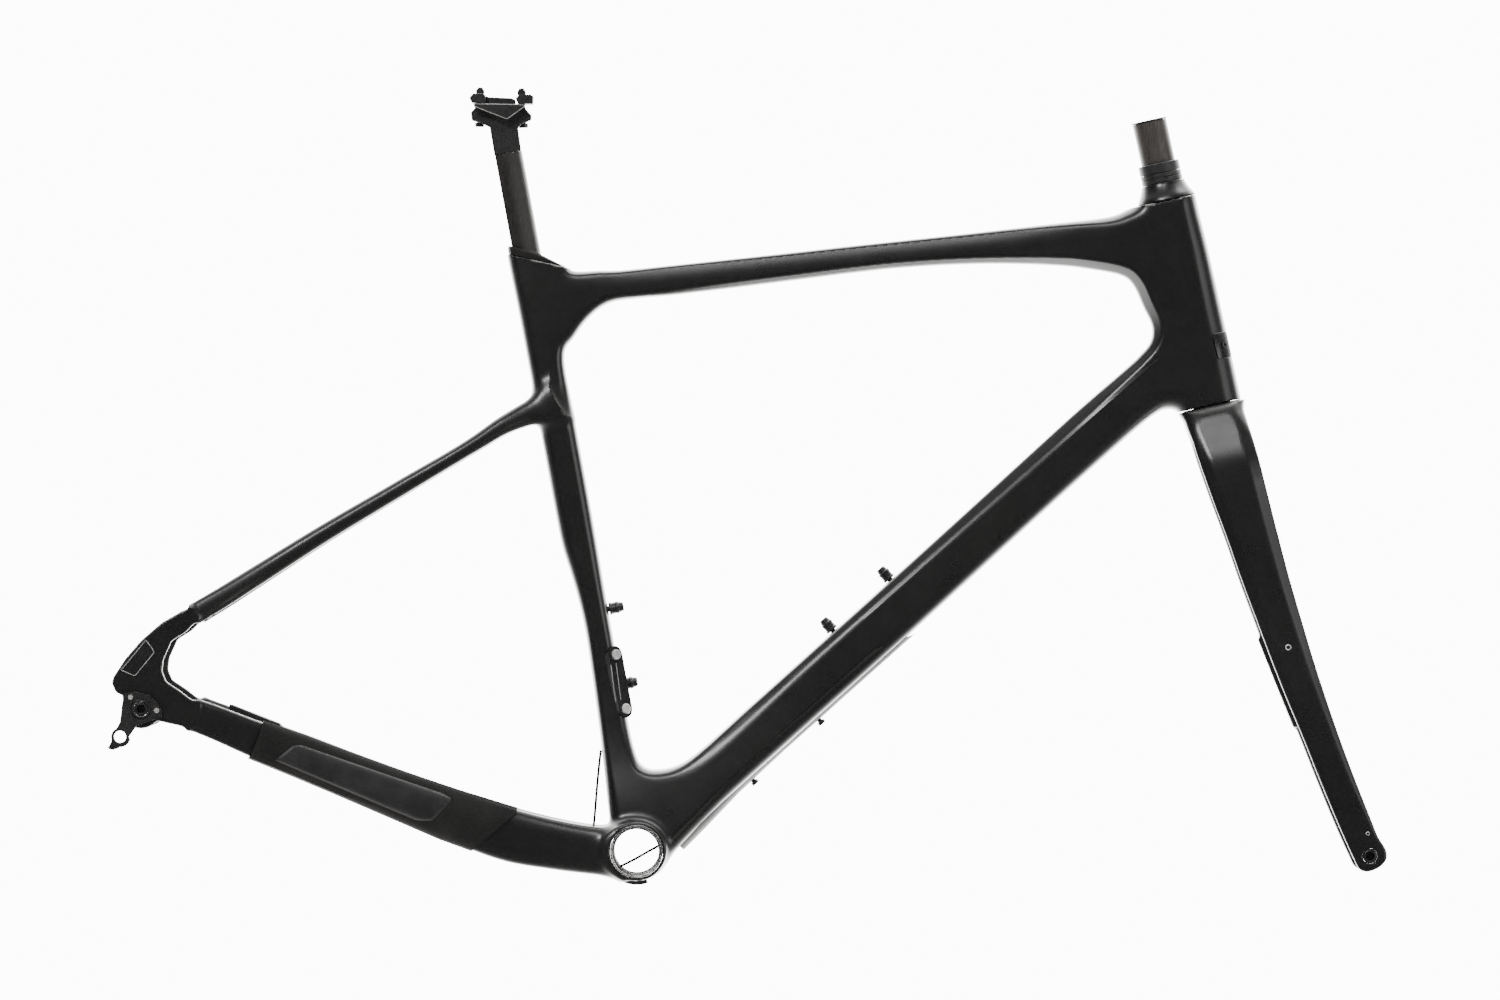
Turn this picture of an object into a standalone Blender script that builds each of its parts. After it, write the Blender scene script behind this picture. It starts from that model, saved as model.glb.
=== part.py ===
"""A carbon gravel bicycle frameset: frame, fork, headset, seatpost, saddle clamp and thru-axles.

Metres. The origin is the centre of the bottom bracket, +X points to the front axle, +Y to the
rider's left and +Z up, with both axles level. The chain side is -Y. The steering and seat tube
parts are drawn in frames of their own, whose Z axis runs up the steerer or up the seat tube.
"""
from math import asin, copysign, cos, degrees, pi, radians, sin

import bmesh
import bpy
from mathutils import Matrix, Vector

# ---- driving dimensions ----
STACK = 0.5927                  # head tube top above the bottom bracket
REACH = 0.3751                  # head tube top ahead of the bottom bracket
HEAD_ANGLE = radians(70.7)
SEAT_ANGLE = radians(72.64)
HEAD_TUBE_LENGTH = 0.1752
SEAT_TUBE_LENGTH = 0.5035       # to the frame's top at the seat cluster
BB_DROP = 0.0695                # axles above the bottom bracket
REAR_AXLE_X = -0.4230
AXLE_DEPTH = 0.5703             # front axle below the head tube's top, along the steerer
FORK_RAKE = 0.0461
BB_WIDTH = 0.086
BB_RADIUS = 0.0245
REAR_SPACING = 0.142
FRONT_SPACING = 0.100
DROPOUT_THICKNESS = 0.008
AXLE_RADIUS = 0.0060
STEERER_RADIUS = 0.0143
GAP = 0.0003                    # between touching pieces
WALL = 0.0016                   # carbon tube wall
STAY_WALL = 0.0013
TUBE_SIDES = 16                 # corners of each tube's section
STAY_SIDES = 12
ROUND_SIDES = 24                # corners of the large turned rings
TURNED_SIDES = 16
SCREW_SIDES = 12

DROPOUT_Y = REAR_SPACING / 2 + DROPOUT_THICKNESS / 2
FORK_END_THICKNESS = 0.012
FORK_END_Y = FRONT_SPACING / 2 + FORK_END_THICKNESS / 2
SEAT_LEAN = SEAT_ANGLE - pi / 2
HEAD_LEAN = HEAD_ANGLE - pi / 2

# Half sizes across each tube at points along its centre line, in the frame's middle plane:
# x, z, half height, half width.
TOP_TUBE = [
    (-0.1300, 0.4480, 0.0250, 0.0185), (-0.1080, 0.4550, 0.0200, 0.0185),
    (-0.0800, 0.4630, 0.0150, 0.0185), (-0.0480, 0.4713, 0.0130, 0.0190),
    (0.0510, 0.4958, 0.0120, 0.0200), (0.1500, 0.5200, 0.0115, 0.0205),
    (0.2090, 0.5320, 0.0126, 0.0210), (0.2895, 0.5453, 0.0170, 0.0215),
    (0.3300, 0.5510, 0.0225, 0.0220), (0.3760, 0.5560, 0.0300, 0.0225),
]
DOWN_TUBE = [
    (0.0060, 0.0100, 0.0250, 0.0380), (0.0170, 0.0235, 0.0246, 0.0368), (0.0330, 0.0430, 0.0240, 0.0350),
    (0.0600, 0.0760, 0.0222, 0.0315), (0.0930, 0.1140, 0.0215, 0.0285),
    (0.1420, 0.1700, 0.0217, 0.0262), (0.1920, 0.2270, 0.0219, 0.0252),
    (0.2580, 0.3015, 0.0218, 0.0248), (0.3230, 0.3760, 0.0220, 0.0244),
    (0.3720, 0.4320, 0.0235, 0.0235), (0.4020, 0.4660, 0.0260, 0.0225),
]
# Seat tube in the seat frame: height, front, rear, half width.
SEAT_TUBE = [
    (0.018, 0.0160, -0.0190, 0.0350), (0.050, 0.0140, -0.0165, 0.0310),
    (0.080, 0.0132, -0.0138, 0.0250), (0.105, 0.0127, -0.0122, 0.0215),
    (0.150, 0.0129, -0.0100, 0.0192), (0.190, 0.0133, -0.0088, 0.0184),
    (0.218, 0.0136, -0.0100, 0.0182), (0.240, 0.0138, -0.0122, 0.0180),
    (0.262, 0.0141, -0.0150, 0.0180), (0.300, 0.0146, -0.0155, 0.0180),
    (0.420, 0.0150, -0.0148, 0.0180), (SEAT_TUBE_LENGTH, 0.0150, -0.0148, 0.0180),
]
SEAT_TOP_SLOPE = -0.43          # the frame's top falls towards the front
# Chainstay and seatstay, drawn for the left side: x, y, z, half height, half width.
CHAINSTAY = [
    (-0.012, 0.0330, -0.0040, 0.0200, 0.0095), (-0.062, 0.0340, -0.0030, 0.0208, 0.0090),
    (-0.100, 0.0350, 0.0000, 0.0222, 0.0085), (-0.160, 0.0390, 0.0126, 0.0205, 0.0085),
    (-0.204, 0.0430, 0.0238, 0.0186, 0.0085), (-0.247, 0.0490, 0.0352, 0.0172, 0.0080),
    (-0.289, 0.0560, 0.0464, 0.0163, 0.0070), (-0.326, 0.0640, 0.0556, 0.0152, 0.0055),
    (-0.360, 0.0720, 0.0652, 0.0140, 0.0042), (-0.3790, DROPOUT_Y, 0.0700, 0.0135, 0.0040),
]
SEATSTAY = [
    (-0.116, 0.0150, 0.3620, 0.0150, 0.0065), (-0.135, 0.0195, 0.3520, 0.0095, 0.0065),
    (-0.153, 0.0250, 0.3405, 0.0072, 0.0065), (-0.171, 0.0300, 0.3255, 0.0058, 0.0062),
    (-0.232, 0.0385, 0.2782, 0.0060, 0.0060), (-0.290, 0.0470, 0.2335, 0.0068, 0.0060),
    (-0.346, 0.0580, 0.1880, 0.0080, 0.0055), (-0.372, 0.0690, 0.1650, 0.0084, 0.0042),
    (-0.3860, DROPOUT_Y, 0.1530, 0.0085, 0.0040),
]
# Fork leg in the steering frame, left side: height, x, half depth, y, half thickness.
FORK_LEG = [
    (-0.2053, 0.0014, 0.0238, 0.0340, 0.0095), (-0.2280, 0.0025, 0.0225, 0.0358, 0.0092),
    (-0.2630, 0.0054, 0.0216, 0.0380, 0.0088), (-0.3320, 0.0119, 0.0192, 0.0415, 0.0082),
    (-0.4010, 0.0192, 0.0168, 0.0452, 0.0076), (-0.4710, 0.0289, 0.0146, 0.0502, 0.0068),
    (-0.5200, 0.0363, 0.0139, 0.0535, 0.0062), (-0.5530, 0.0424, 0.0137, 0.0552, 0.0060),
]
CROWN = [                       # height, x, half depth, half width
    (-0.1778, -0.0007, 0.0255, 0.0255), (-0.1850, -0.0003, 0.0250, 0.0300),
    (-0.1940, 0.0004, 0.0246, 0.0385), (-0.2050, 0.0013, 0.0240, 0.0435),
]


# ---- scene, materials, meshes ----
def clear_scene():
    for old in list(bpy.data.objects):
        bpy.data.objects.remove(old, do_unlink=True)


def material(name, color, roughness, metallic=0.0):
    found = bpy.data.materials.get(name)
    if found:
        return found
    made = bpy.data.materials.new(name)
    made.use_nodes = True
    shader = made.node_tree.nodes["Principled BSDF"]
    shader.inputs["Base Color"].default_value = (*color, 1.0)
    shader.inputs["Roughness"].default_value = roughness
    shader.inputs["Metallic"].default_value = metallic
    return made


def paint():
    return material("satin_black_paint", (0.012, 0.012, 0.013), 0.35)


def raw_carbon():
    return material("raw_carbon", (0.035, 0.030, 0.027), 0.45)


def black_alloy():
    return material("black_alloy", (0.020, 0.020, 0.021), 0.40, 0.8)


def silver_steel():
    return material("silver_steel", (0.62, 0.62, 0.60), 0.30, 1.0)


def bare_alloy():
    return material("bare_alloy", (0.50, 0.50, 0.50), 0.35, 1.0)


def rubber():
    return material("black_rubber", (0.030, 0.029, 0.028), 0.75)


def plastic():
    return material("black_plastic", (0.018, 0.018, 0.018), 0.50)


def axis_empty(name, location, lean=0.0, parent=None):
    """An empty whose Z axis leans back from +Z by lean, about the row's Y axis."""
    made = bpy.data.objects.new(name, None)
    bpy.context.scene.collection.objects.link(made)
    made.location = location
    made.rotation_euler = (0.0, lean, 0.0)
    made.parent = parent
    return made


def link_mesh(name, bm, finish, parent=None):
    bmesh.ops.recalc_face_normals(bm, faces=bm.faces)
    mesh = bpy.data.meshes.new(name)
    bm.to_mesh(mesh)
    bm.free()
    mesh.shade_smooth()
    mesh.set_sharp_from_angle(angle=radians(32))
    made = bpy.data.objects.new(name, mesh)
    if finish:
        mesh.materials.append(finish)
    made.parent = parent
    bpy.context.scene.collection.objects.link(made)
    return made


def ring_solid(name, rings, finish, parent=None, closed=False):
    """Skins equal rings of points. An open stack is capped; a closed one joins end to start."""
    bm = bmesh.new()
    loops = [[bm.verts.new(point) for point in ring] for ring in rings]
    pairs = list(zip(loops, loops[1:]))
    if closed:
        pairs.append((loops[-1], loops[0]))
    for first, second in pairs:
        for i, corner in enumerate(first):
            j = (i + 1) % len(first)
            bm.faces.new((corner, first[j], second[j], second[i]))
    if not closed:
        bm.faces.new(loops[0])
        bm.faces.new(loops[-1])
    return link_mesh(name, bm, finish, parent)


def as_cutter(made):
    made.hide_render = True
    made.display_type = "WIRE"
    return made


def boolean(made, others, operation="DIFFERENCE"):
    for other in others:
        step = made.modifiers.new(operation.lower(), "BOOLEAN")
        step.operation = operation
        step.object = as_cutter(other)
        step.solver = "EXACT"
    return made


# ---- outlines and rings ----
def oval(half_u, half_v, power=2.3, count=TUBE_SIDES, middle=0.0):
    """Superellipse points (u, v), starting at +u."""
    points = []
    for i in range(count):
        angle = 2 * pi * i / count
        c, s = cos(angle), sin(angle)
        size = (abs(c) ** power + abs(s) ** power) ** (-1 / power)
        points.append((middle + half_u * c * size, half_v * s * size))
    return points


def path_rings(stations, grow=0.0, power=2.3, count=TUBE_SIDES, side=1, square_ends=()):
    """Rings across a centre line of (x, y, z, half height, half width), at right angles to it."""
    centres = [Vector((x, side * y, z)) for x, y, z, _, _ in stations]
    rings = []
    for i, (_, _, _, half_up, half_side) in enumerate(stations):
        along = centres[min(i + 1, len(centres) - 1)] - centres[max(i - 1, 0)]
        if i in square_ends:
            along.y = 0.0
        along.normalize()
        across = (Vector((0, 1, 0)) - along * along.y).normalized()
        up = along.cross(across)
        outline = oval(half_up + grow, half_side + grow, power, count)
        rings.append([centres[i] + up * u + across * v for u, v in outline])
    return rings


def flat_stations(stations):
    return [(x, 0.0, z, up, wide) for x, z, up, wide in stations]


def hollow(name, outer, inner, finish, parent=None):
    return ring_solid(name, outer + inner[::-1], finish, parent, closed=True)


def level_ring(outline, height, slope=0.0):
    return [Vector((x, y, height + slope * x)) for x, y in outline]


def turned_rings(profile, start, direction, count=TURNED_SIDES, hexes=()):
    """Rings of (radius, height) about an axis. Rings listed in hexes are six-sided."""
    turn = Vector((0, 0, 1)).rotation_difference(Vector(direction))
    rings = []
    for k, (radius, height) in enumerate(profile):
        ring = []
        for i in range(count):
            angle = 2 * pi * i / count
            size = radius
            if k in hexes:
                size = radius * cos(pi / 6) / cos((angle + pi / 6) % (pi / 3) - pi / 6)
            ring.append(Vector(start) + turn @ Vector((size * cos(angle), size * sin(angle), height)))
        rings.append(ring)
    return rings


def turned(name, profile, start, direction, finish, parent=None, count=TURNED_SIDES, hexes=(),
           closed=False):
    rings = turned_rings(profile, start, direction, count, hexes)
    return ring_solid(name, rings, finish, parent, closed)


def rod_cutter(start, direction, radius, length, parent=None, count=TURNED_SIDES):
    return turned("cutter", [(radius, 0.0), (radius, length)], start, direction, None, parent, count)


def plate(name, outline, y_low, y_high, finish, parent=None):
    """An outline in X and Z, given thickness along Y."""
    rings = [[Vector((x, y, z)) for x, z in outline] for y in (y_low, y_high)]
    return ring_solid(name, rings, finish, parent)


def box_cutter(low, high, parent=None):
    outline = [(low[0], low[2]), (high[0], low[2]), (high[0], high[2]), (low[0], high[2])]
    return plate("cutter", outline, low[1], high[1], None, parent)


def arc(centre, radius, start, end, count):
    """Points (x, z) on an arc between two angles in degrees."""
    steps = [radians(start + (end - start) * i / count) for i in range(count + 1)]
    return [(centre[0] + radius * cos(a), centre[1] + radius * sin(a)) for a in steps]


def cap_screw(name, start, direction, head_radius, head_height, shaft, length, finish, parent=None):
    """A screw with a hexagon socket, drawn from its shaft's end up to its head."""
    socket = head_radius * 0.55
    depth = head_height * 0.6
    profile = [
        (shaft, -length), (shaft, 0.0), (head_radius, 0.0), (head_radius * 0.92, head_height),
        (socket, head_height), (socket, head_height - depth),
    ]
    return turned(name, profile, start, direction, finish, parent, SCREW_SIDES, hexes=(4, 5))


# ---- the frame's tubes ----
def seat_outlines(grow=0.0, count=TUBE_SIDES):
    rings = []
    for height, front, rear, wide in SEAT_TUBE:
        half = (front - rear) / 2 + grow
        outline = oval(half, wide + grow, 2.4, count, (front + rear) / 2)
        slope = SEAT_TOP_SLOPE if height == SEAT_TUBE_LENGTH else 0.0
        rings.append(level_ring(outline, height, slope))
    return rings


def post_outline(grow=0.0, count=TUBE_SIDES):
    """The seatpost's D shape: round in front, flattened behind."""
    radius = 0.0134 + grow
    flat = -0.0105 - grow
    outline = []
    for i in range(count):
        angle = 2 * pi * i / count
        x, y = radius * cos(angle), radius * sin(angle)
        outline.append((max(x - 0.0010, flat), y * (1.0 if x > 0 else 1.05)))
    return outline


POST_BOTTOM = 0.275
POST_TOP = 0.5930
POST_FREE_BORE = 0.262          # below this the seat tube narrows for the wheel


def seat_bores():
    """Inner rings of the seat tube: the post's D bore, then a plain hollow below it."""
    bore = post_outline(0.0004)
    rings = []
    for height, front, rear, wide in SEAT_TUBE:
        if height >= POST_FREE_BORE:
            slope = SEAT_TOP_SLOPE if height == SEAT_TUBE_LENGTH else 0.0
            rings.append(level_ring(bore, height, slope))
            continue
        half = (front - rear) / 2 - WALL
        outline = oval(half, wide - WALL, 2.4, len(bore), (front + rear) / 2)
        rings.append(level_ring(outline, height))
    return rings


def shell_cutter(grow=GAP):
    return rod_cutter((0, -0.1, 0), (0, 1, 0), BB_RADIUS + grow, 0.2, count=ROUND_SIDES)


def seat_cutter(seat_axis):
    rings = seat_outlines(GAP)
    return ring_solid("cutter", rings, None, seat_axis)


def head_outlines(grow=0.0, count=TUBE_SIDES):
    rings = []
    for height, front, rear, wide in (
        (-HEAD_TUBE_LENGTH - grow, 0.0250, -0.0256, 0.0254), (-0.160, 0.0250, -0.0262, 0.0250),
        (-0.120, 0.0250, -0.0275, 0.0228), (-0.060, 0.0250, -0.0275, 0.0222),
        (-0.015, 0.0244, -0.0245, 0.0236), (grow, 0.0236, -0.0236, 0.0236),
    ):
        outline = oval((front - rear) / 2 + grow, wide + grow, 2.1, count, (front + rear) / 2)
        rings.append(level_ring(outline, height))
    return rings


LOWER_SEAT = (0.0237, 0.0078)   # bearing pocket: radius, depth
UPPER_SEAT = (0.0212, 0.0080)


def head_tube(steering):
    inner_radius = 0.0190
    profile = [
        (LOWER_SEAT[0], -HEAD_TUBE_LENGTH), (LOWER_SEAT[0], LOWER_SEAT[1] - HEAD_TUBE_LENGTH),
        (inner_radius, LOWER_SEAT[1] - HEAD_TUBE_LENGTH), (inner_radius, -UPPER_SEAT[1]),
        (UPPER_SEAT[0], -UPPER_SEAT[1]), (UPPER_SEAT[0], 0.0),
    ]
    bores = turned_rings(profile, (0, 0, 0), (0, 0, 1), TUBE_SIDES)
    return hollow("head_tube", head_outlines(), bores, paint(), steering)


def main_tubes(seat_axis, steering):
    head_cutter = ring_solid("cutter", head_outlines(GAP), None, steering)
    pocket = box_cutter((0.0110, -0.0085, 0.4700), (0.0262, 0.0085, 0.5200), seat_axis)
    seat = hollow("seat_tube", seat_outlines(), seat_bores(), paint(), seat_axis)
    boolean(seat, [shell_cutter(), pocket])
    top = flat_stations(TOP_TUBE)
    made = hollow("top_tube", path_rings(top), path_rings(top, -WALL), paint())
    boolean(made, [boolean(seat_cutter(seat_axis), [pocket], "UNION"), head_cutter])
    down = flat_stations(DOWN_TUBE)
    made = hollow("down_tube", path_rings(down, power=2.6), path_rings(down, -WALL, 2.6), paint())
    boolean(made, [shell_cutter(), seat_cutter(seat_axis), head_cutter])


def bottom_bracket():
    half = BB_WIDTH / 2
    seat_depth = 0.0143
    seat_bore = 0.0221
    sleeve = 0.0180
    inner = half - seat_depth
    profile = [
        (BB_RADIUS, -half), (BB_RADIUS, half), (seat_bore, half), (seat_bore, inner),
        (sleeve, inner), (sleeve, -inner), (seat_bore, -inner), (seat_bore, -half),
    ]
    turned("bottom_bracket_shell", profile, (0, 0, 0), (0, 1, 0), paint(), count=ROUND_SIDES, closed=True)
    for name, side in (("bearing_seat_right", -1), ("bearing_seat_left", 1)):
        outer = seat_bore - GAP
        bearing_bore, lip = 0.0205, 0.0186
        profile = [
            (outer, half), (outer, inner + GAP), (lip, inner + GAP), (lip, inner + 0.0018),
            (bearing_bore, inner + 0.0018), (bearing_bore, half),
        ]
        turned(name, profile, (0, 0, 0), (0, side, 0), bare_alloy(), count=ROUND_SIDES, closed=True)


def stays(seat_axis):
    for name, side in (("right", -1), ("left", 1)):
        last = len(CHAINSTAY) - 1
        outer = path_rings(CHAINSTAY, 0.0, 2.5, STAY_SIDES, side, (last,))
        inner = path_rings(CHAINSTAY, -STAY_WALL, 2.5, STAY_SIDES, side, (last,))
        stay = hollow("chainstay_" + name, outer, inner, paint())
        if side > 0:
            boolean(stay, [rear_brake_pad()], "UNION")
        boolean(stay, [shell_cutter()])
        last = len(SEATSTAY) - 1
        outer = path_rings(SEATSTAY, 0.0, 2.2, STAY_SIDES, side, (last,))
        inner = path_rings(SEATSTAY, -STAY_WALL, 2.2, STAY_SIDES, side, (last,))
        stay = hollow("seatstay_" + name, outer, inner, paint())
        boolean(stay, [seat_cutter(seat_axis)])
    low, high, side_gap = -0.0145, 0.0100, 0.0233
    block = [(-0.0620, low + 0.004), (-0.0200, low), (-0.0200, high), (-0.0560, high),
             (-0.0620, high - 0.004)]
    boolean(plate("chainstay_yoke", block, -side_gap, side_gap, paint()), [shell_cutter()])


BRAKE_PAD = (-0.3330, 0.0600, 0.0750)       # middle of the rear brake's flat face
BRAKE_PAD_SLOPE = radians(14.8)


def rear_brake_pad():
    """The flat block on the left chainstay that a disc brake caliper bolts to."""
    frame = axis_empty("rear_brake_frame", BRAKE_PAD, BRAKE_PAD_SLOPE)
    return box_cutter((-0.0230, -0.0050, -0.0100), (0.0230, 0.0050, 0.0), frame)


# ---- the frame's ends and fittings ----
REAR_AXLE = (REAR_AXLE_X, BB_DROP)


def about_axle(points):
    """Outline points given from the rear axle."""
    return [(REAR_AXLE[0] + x, REAR_AXLE[1] + z) for x, z in points]


def dropouts():
    """The two plates that the stays end in, with a hole for the axle."""
    outline = about_axle([
        (0.0310, 0.0899), (0.0085, 0.0735), (-0.0065, 0.0570), (-0.0180, 0.0400),
        (-0.0262, 0.0235), (-0.0268, 0.0180), (-0.0225, 0.0110),
    ]) + arc(REAR_AXLE, 0.0165, 150, 330, 12) + about_axle([
        (0.0402, -0.0127), (0.0470, 0.0139), (0.0300, 0.0190), (0.0180, 0.0250),
        (0.0135, 0.0330), (0.0135, 0.0430), (0.0185, 0.0590), (0.0424, 0.0766),
    ])
    for name, side in (("right", -1), ("left", 1)):
        low, high = sorted((side * REAR_SPACING / 2, side * (REAR_SPACING / 2 + DROPOUT_THICKNESS)))
        made = plate("dropout_" + name, outline, low, high, paint())
        hole = rod_cutter((*xz(REAR_AXLE, -0.1),), (0, 1, 0), AXLE_RADIUS + GAP, 0.2)
        boolean(made, [hole])


def xz(point, y):
    """A point of the X and Z plane, at y."""
    return (point[0], y, point[1])


HANGER_Y = -(REAR_SPACING / 2 + DROPOUT_THICKNESS + GAP)    # its inner face
HANGER_THICKNESS = 0.0048
HANGER_EYE = (REAR_AXLE_X - 0.0144, BB_DROP - 0.0250)
HANGER_SCREWS = (("hanger_screw_rear", (-0.0097, 0.0088)), ("hanger_screw_front", (0.0132, 0.0002)))


def hanger():
    outline = about_axle([
        (-0.0166, 0.0105), (-0.0070, 0.0138), (0.0050, 0.0125), (0.0125, 0.0070), (0.0175, 0.0010),
        (0.0180, -0.0045), (0.0060, -0.0105), (-0.0015, -0.0140), (-0.0070, -0.0240),
    ]) + arc(HANGER_EYE, 0.0088, -10, -130, 6) + about_axle([
        (-0.0225, -0.0340), (-0.0215, -0.0305),
    ]) + arc(HANGER_EYE, 0.0075, 205, 120, 5) + about_axle([(-0.0160, -0.0130), (-0.0158, 0.0060)])
    outer = HANGER_Y - HANGER_THICKNESS
    made = plate("derailleur_hanger", outline, outer, HANGER_Y, black_alloy())
    cutters = [
        rod_cutter(xz(REAR_AXLE, -0.1), (0, 1, 0), 0.0085 + GAP, 0.05),
        rod_cutter(xz(HANGER_EYE, -0.1), (0, 1, 0), 0.0050, 0.05),
    ]
    shaft, head, sunk = 0.0014, 0.0023, 0.0010
    for name, (dx, dz) in HANGER_SCREWS:
        spot = (REAR_AXLE[0] + dx, REAR_AXLE[1] + dz)
        cutters.append(rod_cutter(xz(spot, -0.1), (0, 1, 0), shaft + GAP, 0.05, count=SCREW_SIDES))
        cutters.append(rod_cutter(xz(spot, outer + sunk), (0, -1, 0), head + GAP, 0.01, count=SCREW_SIDES))
        cap_screw(name, xz(spot, outer + sunk - GAP), (0, -1, 0), head, sunk - 2 * GAP, shaft, 0.0032,
                  silver_steel())
    boolean(made, cutters)
    bore = AXLE_RADIUS + GAP
    top = HANGER_THICKNESS - GAP
    profile = [
        (0.0085, 0.0), (0.0085, top - 0.0004), (0.0081, top), (bore + 0.0004, top), (bore, top - 0.0004),
        (bore, 0.0),
    ]
    turned("hanger_axle_nut", profile, xz(REAR_AXLE, HANGER_Y), (0, -1, 0), black_alloy(), closed=True)


def dropout_cover():
    """A thin lid over the opening that the stays' insides are reached by."""
    outline = about_axle([(-0.0215, 0.0302), (-0.0085, 0.0262), (0.0060, 0.0480), (-0.0030, 0.0585)])
    outer = -(REAR_SPACING / 2 + DROPOUT_THICKNESS + GAP)
    plate("dropout_cover", outline, outer - 0.0010, outer, plastic())


def shell_strip(name, stations, first, last, low, high, finish, side=1, power=2.3, thick=0.0018):
    """A strip round part of a tube, between two stations and two angles of the tube's section."""
    points = 8
    off = 0.0006
    centres = [Vector((x, side * y, z)) for x, y, z, _, _ in stations]
    rings = []
    for i in range(first, last + 1):
        along = (centres[i + 1] - centres[i - 1]).normalized()
        across = (Vector((0, 1, 0)) - along * along.y).normalized()
        up = along.cross(across)
        ring = []
        for grow, steps in ((off, range(points + 1)), (off + thick, range(points, -1, -1))):
            for k in steps:
                angle = radians(low + (high - low) * k / points)
                c, s = cos(angle), sin(angle)
                size = (abs(c) ** power + abs(s) ** power) ** (-1 / power)
                u, v = (stations[i][3] + grow) * c * size, (stations[i][4] + grow) * s * size
                ring.append(centres[i] + up * u + across * v)
        rings.append(ring)
    return ring_solid(name, rings, finish)


def chainstay_protector():
    """Rubber over the right chainstay's outside; its front edge slants back towards the bottom."""
    made = shell_strip("chainstay_protector", CHAINSTAY, 2, 7, -160, -12, rubber(), side=-1, power=2.5)
    front = [(-0.1590, -0.0400), (-0.0800, -0.0400), (-0.0800, 0.0400), (-0.1030, 0.0400), (-0.1030, 0.0200)]
    boolean(made, [plate("cutter", front, -0.08, 0.0, None)])


def down_tube_guard():
    """The plastic strip under the down tube; its upper end slants to a tip."""
    tube = flat_stations(DOWN_TUBE)
    made = shell_strip("down_tube_guard", tube, 1, 6, 118, 242, plastic(), power=2.6, thick=0.0034)
    tip = [(0.1785, 0.1918), (0.2130, 0.2093), (0.2300, 0.2200), (0.1994, 0.2376), (0.1700, 0.2100)]
    boolean(made, [plate("cutter", tip, -0.05, 0.05, None)])


def bottle_bolts(seat_axis):
    """Screws with conical heads that keep the bottle mounts' threads clean."""
    profile = [(0.0024, -0.0040), (0.0024, 0.0), (0.0052, 0.0), (0.0052, 0.0030), (0.0036, 0.0078),
               (0.0021, 0.0078), (0.0021, 0.0040)]
    stand_off = 0.0007
    for name, height in (("bottle_bolt_seat_upper", 0.2030), ("bottle_bolt_seat_lower", 0.1390)):
        front = 0.0136
        turned(name, profile, (front + stand_off, 0, height), (1, 0, 0), plastic(), seat_axis, SCREW_SIDES,
               (5, 6))
        drill("seat_tube", (front - 0.010, 0, height), (1, 0, 0), seat_axis)
    along = (Vector((0.2580, 0, 0.3015)) - Vector((0.1420, 0, 0.1700))).normalized()
    out = Vector((-along.z, 0, along.x))
    for name, reach in (("bottle_bolt_down_upper", 0.3090), ("bottle_bolt_down_lower", 0.2450)):
        centre = Vector((0.1420, 0, 0.1700)) + along * (reach - 0.2215)
        surface = centre + out * (0.0219 + stand_off)
        turned(name, profile, surface, out, plastic(), None, SCREW_SIDES, (5, 6))
        drill("down_tube", surface - out * 0.010, out, None)


def drill(target, start, direction, parent, radius=0.0027, length=0.016):
    cutter = rod_cutter(start, direction, radius, length, parent, 12)
    boolean(bpy.data.objects[target], [cutter])


def guard_bolts():
    """Two screws through the guard into the underside of the down tube."""
    first, last = Vector((0.0600, 0, 0.0760)), Vector((0.1420, 0, 0.1700))
    along = (last - first).normalized()
    out = Vector((along.z, 0, -along.x))
    for name, share in (("guard_bolt_lower", 0.12), ("guard_bolt_upper", 0.72)):
        centre = first + (last - first) * share
        surface = centre + out * 0.0266
        cap_screw(name, surface + out * 0.0006, out, 0.0034, 0.0030, 0.0020, 0.0100, silver_steel())
        for target in ("down_tube", "down_tube_guard"):
            drill(target, surface - out * 0.014, out, None, 0.0024, 0.020)


MECH_TURN = radians(42)         # the front derailleur mount faces forwards and to the chain side
MECH_SCREWS = (0.1185, 0.1645)


def front_mech_cover(seat_axis):
    """A lid over the front derailleur mount, on the front right of the seat tube."""
    face = axis_empty("mech_face", (0.0085, -0.0138, (MECH_SCREWS[0] + MECH_SCREWS[1]) / 2), 0.0, seat_axis)
    face.rotation_euler = (0.0, 0.0, MECH_TURN)
    half = (MECH_SCREWS[1] - MECH_SCREWS[0]) / 2
    outline = arc((0, half), 0.0075, 0, 180, 8) + arc((0, -half), 0.0075, 180, 360, 8)
    top = -0.0062
    made = plate("front_mech_cover", outline, top, 0.0015, plastic(), face)
    boolean(made, [seat_cutter(seat_axis)])
    for name, height in (("mech_screw_lower", -half), ("mech_screw_upper", half)):
        cap_screw(name, (0, top - GAP, height), (0, -1, 0), 0.0046, 0.0016, 0.0020, 0.0040, silver_steel(),
                  face)
        hole = rod_cutter((0, 0.002, height), (0, -1, 0), 0.0024, 0.02, face, 12)
        boolean(made, [hole])


PORT_TURN = radians(46)


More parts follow.
